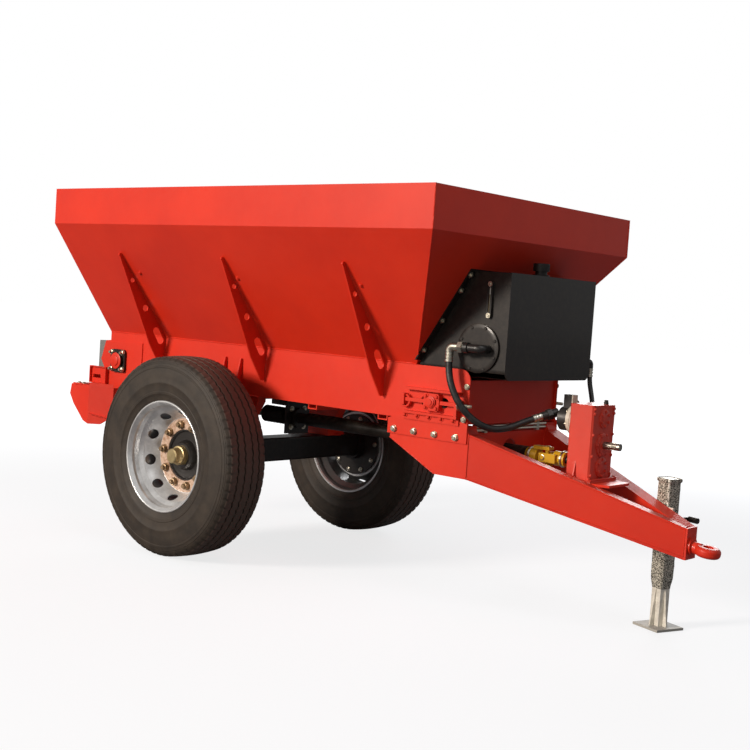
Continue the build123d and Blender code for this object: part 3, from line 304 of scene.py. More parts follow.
def grown(name, mesh, tree, inputs):
    """Runs a Geometry Nodes tree on a mesh and returns the result as plain mesh data."""
    carrier = bpy.data.objects.new(name, mesh)
    scene.collection.objects.link(carrier)
    modifier = carrier.modifiers.new(name, "NODES")
    modifier.node_group = tree
    for item in tree.interface.items_tree:
        if item.in_out == "INPUT" and item.name in inputs:
            modifier[item.identifier] = inputs[item.name]
    shown = carrier.evaluated_get(bpy.context.evaluated_depsgraph_get())
    made = bpy.data.meshes.new_from_object(shown)
    carrier.modifiers.remove(modifier)
    bpy.data.objects.remove(carrier)
    made.name = name
    return made


ring_tree, given = new_tree("tyre_ring", ("Pitches", "Int"), ("Centre", "Vector"))
turns = add(ring_tree, "GeometryNodePoints", {"Count": given.outputs["Pitches"], "Position": (0, 0, 0)})
step = add(ring_tree, "ShaderNodeMath", {0: 2 * pi, 1: given.outputs["Pitches"]}, operation="DIVIDE")
number = add(ring_tree, "GeometryNodeInputIndex")
angle = add(ring_tree, "ShaderNodeMath", {0: number, 1: step}, operation="MULTIPLY")
about = add(ring_tree, "ShaderNodeCombineXYZ", {"Y": angle})
spun = add(ring_tree, "GeometryNodeInstanceOnPoints", {"Points": turns, "Instance": given, "Rotation": about})
real = add(ring_tree, "GeometryNodeRealizeInstances", {"Geometry": spun})
whole = add(ring_tree, "GeometryNodeMergeByDistance", {"Geometry": real, "Distance": 0.0002})
moved = add(ring_tree, "GeometryNodeTransform", {"Geometry": whole, "Translation": given.outputs["Centre"]})
close_tree(ring_tree, given, moved)

tread_radius = 0.5418
tread_half = 0.114
crown_drop = 0.0065
groove_depth = 0.013
groove_floor_half = 0.0035
groove_mouth_half = 0.0055
grooves = (-0.072, -0.026, 0.026, 0.072)
zigzag = (0.0, 0.003, 0.0, -0.003)
columns = 8
pitches = 72
shoulder_notch = 0.004
notched_above = 0.52
# Radius and lateral place down the sidewall, with its raised rings, to the bead.
sidewall = (
    (0.5285, 0.1215), (0.524, 0.1270), (0.516, 0.1325), (0.513, 0.1334), (0.512, 0.1354), (0.510, 0.1361),
    (0.509, 0.1348), (0.504, 0.1365), (0.503, 0.1384), (0.501, 0.1390), (0.500, 0.1378), (0.488, 0.1405),
    (0.486, 0.1425), (0.478, 0.1432), (0.476, 0.1418), (0.455, 0.1450), (0.430, 0.1472), (0.405, 0.1480),
    (0.400, 0.1494), (0.394, 0.1494), (0.390, 0.1478), (0.365, 0.1455), (0.352, 0.1438), (0.349, 0.1455),
    (0.338, 0.1440), (0.334, 0.1405), (0.318, 0.1352), (0.306, 0.1322), (0.3020, 0.1300), (0.3020, 0.1180),
    (0.2862, 0.1060))


def tread_section(column):
    """Radius and lateral place of every point across the tyre, at one column of a pitch."""
    wave = zigzag[column // 2 % 4]
    notch = shoulder_notch if column in (3, 4) else 0.0
    points = [(-tread_half, notch)]
    for middle in grooves:
        for offset, depth in ((-groove_mouth_half, 0.0), (-groove_floor_half, groove_depth),
                              (groove_floor_half, groove_depth), (groove_mouth_half, 0.0)):
            points.append((middle + wave + offset, depth))
    points.append((tread_half, notch))
    tread = [(tread_radius - crown_drop * (y / tread_half) ** 2 - depth, y) for y, depth in points]
    wall = [(radius - (notch if radius > notched_above else 0.0), y) for radius, y in sidewall]
    return [(radius, -y) for radius, y in wall[::-1]] + tread + wall


def join_rings(shape, rings):
    """Joins each ring of points to the next with four-sided faces."""
    for near, far in zip(rings, rings[1:]):
        for i in range(len(near)):
            j = (i + 1) % len(near)
            shape.faces.new((near[i], near[j], far[j], far[i]))


def as_mesh(name, shape):
    """Turns a finished bmesh into mesh data with its faces pointing outwards."""
    bmesh.ops.recalc_face_normals(shape, faces=shape.faces)
    mesh = bpy.data.meshes.new(name)
    shape.to_mesh(mesh)
    shape.free()
    return mesh


def finish_piece(name, shape, material, body, smooth=40):
    """Puts a mesh or bmesh in the scene as a piece with one finish that rides on a body, if any."""
    mesh = as_mesh(name, shape) if isinstance(shape, bmesh.types.BMesh) else shape
    if material.name not in mesh.materials:
        mesh.materials.append(material)
    mesh.polygons.foreach_set("use_smooth", [True] * len(mesh.polygons))
    mesh.set_sharp_from_angle(angle=radians(smooth))
    piece = bpy.data.objects.new(name, mesh)
    scene.collection.objects.link(piece)
    if body:
        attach(piece, body)
    return piece


for name, side in sides:
    shape = bmesh.new()
    strips = []
    for column in range(columns + 1):
        swing = 2 * pi / pitches * column / columns
        strips.append([shape.verts.new((radius * sin(swing), y, radius * cos(swing)))
                       for radius, y in tread_section(column % columns)])
    join_rings(shape, strips)
    closed = bmesh.new()
    closed.from_mesh(grown("tyre_ring", as_mesh("tread_pitch", shape), ring_tree, {
        "Pitches": pitches, "Centre": (axle_x, side * wheel_y, axle_z), "Material": tyre_rubber}))
    tyre = finish_piece(
        f"treaded_tyre_{name}", closed, tyre_rubber, f"wheel_{name}", smooth=30)
    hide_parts(f"tyre_{name}")

# Aluminium-flake lacquer, dulled in patches by brake dust.
wheel_silver, tree, where = blank_material("silver_wheel_lacquer")
_, silver, dull = clouded(
    tree, where, 12.0, 6.0, ("#E6E8EA", "#B6B8BA"), rough=(0.20, 0.42), band=(0.35, 0.72), grit=0.6)
# The flat that the nuts clamp is left in pale primer, browned by rust near the studs.
from_axis, outward = about_the_axle(tree, where)
_, primer, _ = clouded(tree, where, 55.0, 6.0, ("#CDB3A0", "#9A7358"), band=(0.42, 0.68), grit=0.7)
near_studs = add(tree, "ShaderNodeMath", {0: from_axis, 1: 0.2035}, operation="LESS_THAN")
outer_face = add(tree, "ShaderNodeMath", {0: outward, 1: wheel_y - 0.033}, operation="GREATER_THAN")
clamped = add(tree, "ShaderNodeMath", {0: near_studs, 1: outer_face}, operation="MULTIPLY")
# Painted shade: the barrel and the disc's back inboard of the disc's cone are darkened, so the hand holes
# read as a deep recess in shade.
cone = add(tree, "ShaderNodeMath", {0: from_axis, 1: -1.766, 2: outward}, operation="MULTIPLY_ADD")
inboard = add(tree, "ShaderNodeMath", {0: cone, 1: wheel_y - 0.3988}, operation="LESS_THAN")
below_lip = add(tree, "ShaderNodeMath", {0: outward, 1: wheel_y + 0.045}, operation="LESS_THAN")
behind = add(tree, "ShaderNodeMath", {0: inboard, 1: below_lip}, operation="MULTIPLY")
in_barrel = add(tree, "ShaderNodeMath", {0: from_axis, 1: 0.284}, operation="LESS_THAN")
shaded_recess = add(tree, "ShaderNodeMath", {0: behind, 1: in_barrel}, operation="MULTIPLY")
# Painted shade, 80% of the way to near black.
painted_shade_share = add(tree, "ShaderNodeMapRange", {"Value": shaded_recess, "To Max": 0.80})
silver_with_painted_shade = add(tree, "ShaderNodeMix", {0: painted_shade_share, 6: silver, 7: "#2C2C2D"}, data_type="RGBA")
both = add(tree, "ShaderNodeMix", {0: clamped, 6: silver_with_painted_shade, 7: primer}, data_type="RGBA")
flaked = add(tree, "ShaderNodeMapRange", {"Value": clamped, "To Min": 0.58, "To Max": 0.0})
close_material(tree, {"Base Color": both, "Metallic": flaked, "Roughness": dull})
paint(wheel_silver, "rim_right", "rim_left")


def turned(shape, profile, origin, direction, facets=32, ring_shaped=False):
    """Adds a turned part to a bmesh: profile is (distance along, radius) from origin."""
    turn = Vector(direction).to_track_quat("Z", "Y").to_matrix()
    rings = []
    for along, radius in profile:
        ring = []
        for i in range(facets):
            angle = 2 * pi * i / facets
            place = turn @ Vector((radius * cos(angle), radius * sin(angle), along)) + Vector(origin)
            ring.append(shape.verts.new(place))
        rings.append(ring)
    join_rings(shape, rings + rings[:ring_shaped])
    if not ring_shaped:
        shape.faces.new(rings[0][::-1])
        shape.faces.new(rings[-1])


# The rim's outer edge is rolled over to a round lip.
lip = (
    (0.1225, 0.2998), (0.1260, 0.3008), (0.1300, 0.3010), (0.1335, 0.2998), (0.1352, 0.2970),
    (0.1352, 0.2930), (0.1335, 0.2900), (0.1300, 0.2886), (0.1250, 0.2890))
for name, side in sides:
    shape = bmesh.new()
    turned(shape, lip, (axle_x, side * wheel_y, axle_z), (0, side, 0), facets=96, ring_shaped=True)
    finish_piece(f"rim_lip_{name}", shape, wheel_silver, f"wheel_{name}")

# Hub castings: pink primer on the stud ends, black grease ring, and a gold-plated cap. Behind
# the disc the casting is black.
hub_finish, tree, where = blank_material("primed_hub_casting")
from_axis, outward = about_the_axle(tree, where)
stain, primer, _ = clouded(tree, where, 40.0, 6.0, ("#D8B4A2", "#A98C7C"))
cap_gold = add(tree, "ShaderNodeMix", {0: stain, 6: "#D4C193", 7: "#9A8760"}, data_type="RGBA")
past_ring = add(tree, "ShaderNodeMath", {0: from_axis, 1: 0.1395}, operation="GREATER_THAN")
outer_face = add(tree, "ShaderNodeMath", {0: outward, 1: wheel_y - 0.0385}, operation="GREATER_THAN")
stud_part = add(tree, "ShaderNodeMath", {0: past_ring, 1: outer_face}, operation="MULTIPLY")
cap_part = add(tree, "ShaderNodeMath", {0: from_axis, 1: 0.0525}, operation="LESS_THAN")
ringed = add(tree, "ShaderNodeMix", {0: stud_part, 6: "#1D1917", 7: primer}, data_type="RGBA")
capped = add(tree, "ShaderNodeMix", {0: cap_part, 6: ringed, 7: cap_gold}, data_type="RGBA")
close_material(tree, {"Base Color": capped, "Metallic": cap_part, "Roughness": 0.42})
paint(hub_finish, "hub_right", "hub_left")

# Every bolt on the machine is the same shape at another size: washer, hexagon head, and the
# end of the thread. One tree sets it on each point, with its own turn of the spanner.
bolt_tree, given = new_tree(
    "hexagon_bolts", ("Facing", "Vector"), ("Across", "Float"), ("Height", "Float"), ("Washer", "Float"),
    ("Thread", "Float"))
height, end_length = given.outputs["Height"], given.outputs["Thread"]
# Radii as shares of the width across the flats.
corner, crown, brow, core = (
    add(bolt_tree, "ShaderNodeMath", {0: given.outputs["Across"], 1: share}, operation="MULTIPLY")
    for share in (0.577, 0.47, 0.36, 0.30))
head = add(bolt_tree, "GeometryNodeMeshCylinder", {"Vertices": 6, "Radius": corner, "Depth": height})
dome = add(bolt_tree, "GeometryNodeMeshCone", {
    "Vertices": 18, "Radius Top": brow, "Radius Bottom": crown, "Depth": 0.0015})
plate = add(bolt_tree, "GeometryNodeMeshCylinder", {
    "Vertices": 24, "Radius": given.outputs["Washer"], "Depth": 0.003})
end = add(bolt_tree, "GeometryNodeMeshCylinder", {"Vertices": 14, "Radius": core, "Depth": end_length})
half_head = add(bolt_tree, "ShaderNodeMath", {0: height, 1: 0.5}, operation="MULTIPLY")
end_middle = add(bolt_tree, "ShaderNodeMath", {0: end_length, 1: 0.5, 2: height}, operation="MULTIPLY_ADD")
bolt = add(bolt_tree, "GeometryNodeJoinGeometry")
for part, lift in ((head, half_head), (dome, height), (plate, 0.0012), (end, end_middle)):
    up = add(bolt_tree, "ShaderNodeCombineXYZ", {"Z": lift})
    raised = add(bolt_tree, "GeometryNodeTransform", {"Geometry": part, "Translation": up})
    bolt_tree.links.new(raised.outputs[0], bolt.inputs[0])
aim = add(bolt_tree, "FunctionNodeAlignRotationToVector", {"Vector": given.outputs["Facing"]}, axis="Z")
spanner = add(bolt_tree, "FunctionNodeRandomValue", {"Min": 0.0, "Max": 1.0, "Seed": 5}, data_type="FLOAT")
turn_by = add(bolt_tree, "ShaderNodeCombineXYZ", {"Z": spanner.outputs["Value"]})
turn = add(bolt_tree, "FunctionNodeRotateRotation", {
    "Rotation": aim, "Rotate By": turn_by}, rotation_space="LOCAL")
close_tree(bolt_tree, given, add(bolt_tree, "GeometryNodeInstanceOnPoints", {
    "Points": given, "Instance": bolt, "Rotation": turn}))


def bolts(name, body, places, facing, across, material, height=None, washer=None, thread=0.0):
    """Sets bolts of one size on points, all facing the same way."""
    points = bpy.data.meshes.new(name)
    points.from_pydata(places, [], [])
    made = grown(name, points, bolt_tree, {
        "Facing": facing, "Across": across, "Height": height or 0.6 * across,
        "Washer": washer or 0.95 * across, "Thread": thread + 0.0005, "Material": material})
    return finish_piece(name, made, material, body, smooth=30)


def around(count, radius, start=0.0):
    """Points spaced evenly round a circle, from a starting angle in degrees."""
    angles = [radians(start + 360 * i / count) for i in range(count)]
    return [(radius * cos(angle), radius * sin(angle)) for angle in angles]


# Bright zinc with a faint yellow passivation and duller patches.
zinc_plate, tree, where = blank_material("zinc_plated_steel")
_, tone, dull = clouded(tree, where, 70.0, 5.0, ("#C9C4B4", "#A7A59D"), rough=(0.22, 0.48))
close_material(tree, {"Base Color": tone, "Metallic": 1.0, "Roughness": dull})

# The nuts' copper wash has tarnished to brown steel in places.
copper_washed, tree, where = blank_material("copper_washed_nuts")
_, tone, _ = clouded(tree, where, 90.0, 4.0, ("#B49A78", "#6B5744"))
close_material(tree, {"Base Color": tone, "Metallic": 0.7, "Roughness": 0.40})

stud_circle = 0.1675
disc_face = -0.027
flange_back = -0.0573
for name, side in sides:
    nuts = [(axle_x + x, side * (wheel_y + disc_face), axle_z - side * z)
            for x, z in around(10, stud_circle, 30.6)]
    bolts(f"wheel_nuts_{name}", f"wheel_{name}", nuts, (0, side, 0), 0.0375, copper_washed,
          height=0.021, washer=0.0235, thread=0.013)
    # The studs' round heads show on the back of the hub's flange.
    heads = [(x, side * (wheel_y + flange_back), z) for x, y, z in nuts]
    bolts(f"stud_heads_{name}", f"wheel_{name}", heads, (0, -side, 0), 0.024, zinc_plate,
          height=0.007, washer=0.0145)

# ---------------------------------------------------------------- trough and conveyor
# The trough's folded side plates and floor in red enamel; two plate-link chains that carry
# slats, grown as single links and slats along the loop between the two shafts.
paint(red_enamel, "side_plate_right", "side_plate_left", "bearing_plates", "hopper_floor", "cross_members",
      "front_panel", "front_baffle")


def metal(name, bright, dull, low, high, scale, metallic=1.0, scuffed_below=-1.0):
    """Bare or plated metal: two tones in a cloud of the given scale, and a roughness range.

    What lies below the height scuffed_below is soiled and dulled by the ground.
    """
    made, tree, where = blank_material(name)
    _, tone, rough = clouded(
        tree, where, scale, 6.0, (bright, dull), rough=(low, high), band=(0.36, 0.66), grit=0.65)
    parts = add(tree, "ShaderNodeSeparateXYZ", {0: where})
    grounded = add(tree, "ShaderNodeMath", {0: parts.outputs["Z"], 1: scuffed_below}, operation="LESS_THAN")
    soiled = add(tree, "ShaderNodeMix", {0: grounded, 6: tone, 7: "#B0AEA8"}, data_type="RGBA")
    dulled = add(tree, "ShaderNodeMath", {0: grounded, 1: 0.25, 2: rough}, operation="MULTIPLY_ADD")
    # Fine drawing marks, a millimetre apart and less.
    marks = add(tree, "ShaderNodeTexNoise", {"Vector": where, "Scale": 900.0, "Detail": 2.0})
    brushed = add(tree, "ShaderNodeBump", {"Strength": 0.05, "Distance": 0.0002, "Height": marks})
    close_material(tree, {"Base Color": soiled, "Metallic": metallic, "Roughness": dulled, "Normal": brushed})
    return made


# Muck has browned the rolled steel, and the rubbing slats keep it bright in places.
worn_steel = metal("rolled_steel_worn_by_muck", "#8C847A", "#4E4338", 0.35, 0.65, 22.0, 0.85)
paint(worn_steel, "conveyor_shafts")

# Points along a path, each with one copy of a part turned to the path's direction.
row_tree, given = new_tree("parts_along_path", ("Part", "Object"), ("Pitch", "Float"), ("Level", "Vector"))
path = add(row_tree, "GeometryNodeMeshToCurve", {"Mesh": given})
spots = add(row_tree, "GeometryNodeCurveToPoints", {
    "Curve": path, "Length": given.outputs["Pitch"]}, mode="LENGTH").outputs
facing = add(row_tree, "FunctionNodeAxesToRotation", {
    "Primary Axis": spots["Tangent"], "Secondary Axis": given.outputs["Level"]},
    primary_axis="X", secondary_axis="Y")
part = add(row_tree, "GeometryNodeObjectInfo", {"Object": given.outputs["Part"]}, transform_space="ORIGINAL")
close_tree(row_tree, given, add(row_tree, "GeometryNodeInstanceOnPoints", {
    "Points": spots["Points"], "Instance": part.outputs["Geometry"], "Rotation": facing}))


def blocks(name, *boxes):
    """A mesh of plain boxes, each given as its middle and its size."""
    shape = bmesh.new()
    for middle, size in boxes:
        place = Matrix.Translation(middle) @ Matrix.Diagonal((*size, 1.0))
        bmesh.ops.create_cube(shape, size=1.0, matrix=place)
    return as_mesh(name, shape)


def row(name, part, path, closed, pitch, material, level=(0, 1, 0)):
    """Repeats a small part of the chassis along a path of points."""
    count = len(path)
    links = [(i, (i + 1) % count) for i in range(count if closed else count - 1)]
    line = bpy.data.meshes.new(name)
    line.from_pydata(path, links, [])
    holder = bpy.data.objects.new(name + "_part", part)
    scene.collection.objects.link(holder)
    made = grown(name, line, row_tree, {"Part": holder, "Pitch": pitch, "Level": level, "Material": material})
    bpy.data.objects.remove(holder)
    return finish_piece(name, made, material, "chassis")


chain_low, chain_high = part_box("conveyor_chain")
chain_half = 0.011
chain_y = 0.285
link_pitch = 0.0436
chain_radius = (chain_high.z - chain_low.z) / 2 - chain_half
chain_z = middle_of("conveyor_chain").z
chain_back = chain_low.x + chain_radius + chain_half
chain_front = chain_high.x - chain_radius - chain_half
link = blocks(
    "chain_link",
    ((0, 0.0115, 0), (0.042, 0.005, 0.019)), ((0, -0.0115, 0), (0.042, 0.005, 0.019)),
    ((0.017, 0, 0), (0.012, 0.027, 0.012)))
for name, side in sides:
    loop = []
    for turn_x, start in ((chain_back, pi / 2), (chain_front, -pi / 2)):
        for i in range(13):
            angle = start + pi * i / 12
            x, z = turn_x + chain_radius * cos(angle), chain_z + chain_radius * sin(angle)
            loop.append((x, side * chain_y, z))
    chain = row(f"chain_{name}", link, loop, True, link_pitch, worn_steel)
    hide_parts("conveyor_chain")
# Pressed channel slats with a bolt at each chain.
slat_width = chain_high.y - chain_low.y
slat = blocks(
    "slat",
    ((0, 0, 0.008), (0.034, slat_width, 0.004)), ((0.0155, 0, 0), (0.003, slat_width, 0.020)),
    ((-0.0155, 0, 0), (0.003, slat_width, 0.020)), ((0, chain_y, 0.0095), (0.014, 0.014, 0.005)),
    ((0, -chain_y, 0.0095), (0.014, 0.014, 0.005)))
spacing = (chain_front - chain_back) / 11
for name, z, way in (("upper", chain_high.z - 0.012, 1), ("lower", chain_low.z + 0.010, -1)):
    ends = [(chain_back + spacing / 2, 0, z), (chain_front - spacing / 2, 0, z)]
    slats = row(f"{name}_slats", slat, ends[::way], False, spacing - 0.0002, worn_steel)
    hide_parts("conveyor_chain")

# Flange bearings in black with a red boss; four plated bolts with long threads hold each.
zinc_bolt = metal("yellow_passivated_bolts", "#D8D2C0", "#A59E8C", 0.22, 0.42, 80.0)
paint(black_enamel, "drive_bearings", "conveyor_motor")
drive_x, _, drive_z = middle_of("drive_bearings")
for name, side in sides:
    corners = [(drive_x + dx, side * 0.410, drive_z + dz) for dx in (-0.051, 0.051) for dz in (-0.051, 0.051)]
    bolts(f"bearing_bolts_{name}", "chassis", corners, (0, side, 0), 0.0275, zinc_bolt,
          height=0.0125, washer=0.0175, thread=0.014)
shape = bmesh.new()
boss = ((0.0, 0.024), (0.001, 0.030), (0.006, 0.031), (0.008, 0.027))
turned(shape, boss, (drive_x, -0.4275, drive_z), (0, -1, 0), facets=40)
collar = ((0.0, 0.049), (0.002, 0.050), (0.0035, 0.047))
turned(shape, collar, (drive_x, -0.4255, drive_z), (0, -1, 0), facets=48)
finish_piece("drive_shaft_cap", shape, red_enamel, "chassis")

# Chain take-ups: red slides, each with a threaded rod and its lock nut on the front lug.
paint(red_enamel, "chain_take_ups")
take_up_x, take_up_z = axle_x + 1.440, 0.978
thread_pitch = 0.0015
# A stepped cap over the shaft's end, and an open sleeve round the anchor at the back.
stepped = ((0.0, 0.029), (0.005, 0.029), (0.006, 0.024), (0.011, 0.024), (0.012, 0.016), (0.016, 0.015))
hollow = ((0.0, 0.033), (0.016, 0.033), (0.018, 0.031), (0.018, 0.024), (0.003, 0.022))
for name, side in sides:
    shape = bmesh.new()
    thread = []
    for i in range(46):
        thread += [(thread_pitch * i, 0.0085), (thread_pitch * i + 0.0008, 0.0075)]
    turned(shape, thread, (take_up_x + 0.162, side * 0.407, take_up_z), (1, 0, 0), facets=16)
    finish_piece(f"take_up_rod_{name}", shape, zinc_bolt, "chassis")
    lock = [(take_up_x + 0.163, side * 0.407, take_up_z)]
    bolts(f"take_up_nut_{name}", "chassis", lock, (1, 0, 0), 0.030, zinc_bolt, height=0.014)
    ears = [(take_up_x + dx, side * 0.420, take_up_z + dz)
            for dx in (-0.033, 0.033) for dz in (-0.028, 0.028)]
    bolts(f"take_up_block_bolts_{name}", "chassis", ears, (0, side, 0), 0.016, red_enamel,
          height=0.010)
    shape = bmesh.new()
    turned(shape, stepped, (take_up_x, side * 0.4235, take_up_z), (0, side, 0), facets=36)
    turned(shape, hollow, (take_up_x - 0.168, side * 0.396, 0.970), (0, side, 0), facets=36)
    finish_piece(f"take_up_caps_{name}", shape, red_enamel, "chassis")

# ---------------------------------------------------------------- hopper
# Folded sheet hopper in the same red. Its corners, folds and ribs carry weld beads that were
# painted over, each grown along its seam with an uneven surface.
paint(red_enamel, "hopper_side_right", "hopper_side_left", "hopper_front", "hopper_back", "hopper_ribs")

weld_tree, given = new_tree("weld_bead", ("Width", "Float"), ("Ripple", "Float"))
width = given.outputs["Width"]
path = add(weld_tree, "GeometryNodeMeshToCurve", {"Mesh": given})
even = add(weld_tree, "GeometryNodeResampleCurve", {
    "Curve": path, "Length": given.outputs["Ripple"]}, mode="LENGTH")
section = add(weld_tree, "GeometryNodeCurvePrimitiveCircle", {"Resolution": 7, "Radius": width})
bead = add(weld_tree, "GeometryNodeCurveToMesh", {"Curve": even, "Profile Curve": section, "Fill Caps": True})
out = add(weld_tree, "GeometryNodeInputNormal")
here = add(weld_tree, "GeometryNodeInputPosition")
# The lumps of each pass of the rod are 6 mm apart.
lumps = add(weld_tree, "ShaderNodeTexNoise", {"Vector": here, "Scale": 160.0, "Detail": 2.0})
rise = add(weld_tree, "ShaderNodeMath", {0: lumps, 1: 0.5}, operation="SUBTRACT")
swell = add(weld_tree, "ShaderNodeMath", {0: rise, 1: width}, operation="MULTIPLY")
push = add(weld_tree, "ShaderNodeVectorMath", {0: out, "Scale": swell}, operation="SCALE")
close_tree(weld_tree, given, add(weld_tree, "GeometryNodeSetPosition", {"Geometry": bead, "Offset": push}))


def welds(name, seams, width=0.004):
    """Lays a painted bead along every seam of the chassis, given as lists of points."""
    places = []
    links = []
    for seam in seams:
        links += [(len(places) + i, len(places) + i + 1) for i in range(len(seam) - 1)]
        places += seam
    line = bpy.data.meshes.new(name)
    line.from_pydata(places, links, [])
    made = grown(name, line, weld_tree, {"Width": width, "Ripple": 1.6 * width, "Material": red_enamel})
    finish_piece(name, made, red_enamel, "chassis")


fold_z, band_z = 1.155, 1.780
rim_low, rim_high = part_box("hopper_side_right")
fold_y, band_y = 0.390, -rim_low.y
slope = (band_y - fold_y) / (band_z - fold_z)
fold_back, fold_front, band_front = axle_x - 1.128, axle_x + 1.310, axle_x + 1.724
seams = []
for side in (-1, 1):
    fold_seam, foot_y, top_y = side * (fold_y + 0.001), side * (fold_y - 0.002), side * (band_y - 0.003)
    seams.append([(fold_back, fold_seam, fold_z - 0.001), (fold_front, fold_seam, fold_z - 0.001)])
    corner = [(fold_front, foot_y, fold_z), (band_front, top_y, band_z), (band_front, top_y, rim_high.z)]
    seams.append(corner)
seams.append([(fold_front + 0.002, y, fold_z - 0.002) for y in (0.01 - fold_y, fold_y - 0.01)])
welds("hopper_seams", seams, 0.0035)
rib_top, rib_foot = 1.611, 0.985
seams = []
for side in (-1, 1):
    for station in (-0.610, 0.250, 1.110):
        for flank in (-0.005, 0.005):
            x = axle_x + station + flank
            top_y = fold_y + slope * (rib_top - fold_z)
            seams.append([
                (x, side * top_y, rib_top), (x, side * fold_y, fold_z), (x, side * fold_y, rib_foot)])
welds("rib_seams", seams, 0.003)
# A plain bolt through the slope beside each rib holds the liner inside.
liner_z = 1.52
liner_y = fold_y + slope * (liner_z - fold_z)
for name, side in sides:
    studs = [(axle_x + station, side * liner_y, liner_z) for station in (-0.532, 0.286, 1.155)]
    bolts(f"liner_bolts_{name}", "chassis", studs, (0, side, -slope), 0.017, red_enamel,
          height=0.007, washer=0.013)

# ---------------------------------------------------------------- axle stands
# The folded stands carry the trough's side plates on the axle beam. Painted weld beads hold
# them to the beam below and to the side plates above.
seams = []
for side in (-1, 1):
    inner_y, outer_y = side * 0.392, side * 0.449
    for x in (axle_x - 0.08768, axle_x + 0.08768):
        seams.append([(x, inner_y, 0.621), (x, outer_y, 0.621)])
    seams.append([(axle_x - 0.208, inner_y, 0.879), (axle_x + 0.208, inner_y, 0.879)])
    seams.append([(axle_x - 0.085, side * 0.451, 0.6205), (axle_x + 0.085, side * 0.451, 0.6205)])
welds("stand_seams", seams)

# ---------------------------------------------------------------- drawbar
# Welded red rails with a splice plate on each side: four large plated bolts, and a row of
# small painted ones above them.
paint(red_enamel, "drawbar_rail_right", "drawbar_rail_left", "splice_plates", "drawbar_cross_plates",
      "drawbar_nose", "towing_eye")
for name, side in sides:
    big = [(axle_x + 1.204 + 0.1275 * i, side * 0.400, 0.822) for i in range(4)]
    bolts(f"splice_bolts_{name}", "chassis", big, (0, side, 0), 0.0275, zinc_bolt,
          height=0.0135, washer=0.0170, thread=0.004)
    # A flat along the foot of the slide takes the small bolts.
    flat_bar = blocks(f"slide_foot_{name}", ((axle_x + 1.432, side * 0.404, 0.8965), (0.342, 0.008, 0.035)))
    finish_piece(f"slide_foot_{name}", flat_bar, red_enamel, "chassis")
    small = [(axle_x + 1.273 + 0.0745 * i, side * 0.408, 0.9035) for i in range(5)]
    bolts(f"slide_foot_bolts_{name}", "chassis", small, (0, side, 0), 0.018, red_enamel,
          height=0.011)
    plate_corner = [(axle_x + 1.631, side * 0.396, 1.070), (axle_x + 1.626, side * 0.400, 0.912)]
    bolts(f"plate_corner_bolts_{name}", "chassis", plate_corner, (0, side, 0), 0.020, zinc_bolt,
          height=0.009, washer=0.0145)
run_x, run_y = axle_x + 1.657, 0.390
nose_x, nose_y = axle_x + 2.634, 0.048
seams = []
for side in (-1, 1):
    seams.append([(run_x, side * 0.391, 0.628), (run_x, side * 0.391, 0.845)])
    seams.append([(axle_x + 1.172, side * 0.391, 0.776), (axle_x + 1.466, side * 0.391, 0.629)])
    # The top and bottom plates of a rail lie on its web, so a bead follows each long edge.
    for z_back, z_front in ((0.838, 0.523), (0.636, 0.403)):
        seams.append([(run_x, side * (run_y + 0.0005), z_back), (nose_x, side * (nose_y + 0.0005), z_front)])
    seams.append([(nose_x, side * nose_y, 0.400), (nose_x, side * nose_y, 0.526)])
welds("drawbar_seams", seams, 0.003)
seams = []
for x, z in ((2.010, 0.670), (2.174, 0.681)):
    seams.append([(axle_x + x, y, z) for y in (-0.122, 0.122)])
for y in (-0.1225, 0.1225):
    seams.append([(axle_x + x, y, 0.681) for x in (2.0125, 2.1695)])
welds("platform_seams", seams)

# ---------------------------------------------------------------- gearbox
# The splitter gearbox is a painted iron casting: raised bearing covers with small bolts on
# the front, a foot gusset on each side, a filler plug, and a bare splined shaft end.
cast_red = enamel("painted_iron_casting", "#D6402F", "#B93226", 0.42, dust=0.30, coat=0.15, as_cast=True)
paint(cast_red, "splitter_gearbox", "spreader_gearbox")
# Bare turned steel, greyed by old oil.
machined = metal("machined_shaft_steel", "#B7B2A8", "#6F6A60", 0.22, 0.45, 60.0)
paint(machined, "power_shaft_stub")
face_x = axle_x + 2.155
output_z, input_z, upper_z = 0.735, 0.841, 0.966
shape = bmesh.new()
for z, radius in ((input_z, 0.058), (upper_z, 0.046), (output_z, 0.050)):
    cover = ((-0.002, radius), (0.005, radius - 0.001), (0.008, radius - 0.006))
    turned(shape, cover, (face_x, 0, z), (1, 0, 0), facets=40)
finish_piece("gearbox_covers", shape, cast_red, "chassis")
cover_bolts = []
for z, radius, start, proud in (
        (upper_z, 0.034, 30, 0.0075), (output_z, 0.038, 30, 0.0075), (input_z, 0.052, 0, 0.0045)):
    cover_bolts += [(face_x + proud, y, z + dz) for y, dz in around(6, radius, start)]
cover_bolts += [(face_x - 0.001, y, z) for y in (-0.088, 0.088) for z in (0.70, 0.79, 0.89, 0.99, 1.012)]
bolts("gearbox_bolts", "chassis", cover_bolts, (1, 0, 0), 0.013, cast_red,
      height=0.006, washer=0.0085)
feet = [(axle_x + x, y, 0.680) for y in (-0.116, 0.116) for x in (2.020, 2.162)]
bolts("gearbox_foot_bolts", "chassis", feet, (0, 0, 1), 0.016, cast_red)
# Triangular foot gussets, near the back edge of each side.
shape = bmesh.new()
for side in (-1, 1):
    plates = []
    for x in (axle_x + 2.075, axle_x + 2.081):
        plates.append([shape.verts.new((x, side * y, z)) for y, z in (
            (0.1025, 0.680), (0.122, 0.680), (0.1025, 0.760))])
    join_rings(shape, plates)
    for plate in plates:
        shape.faces.new(plate)
finish_piece("gearbox_gussets", shape, cast_red, "chassis")
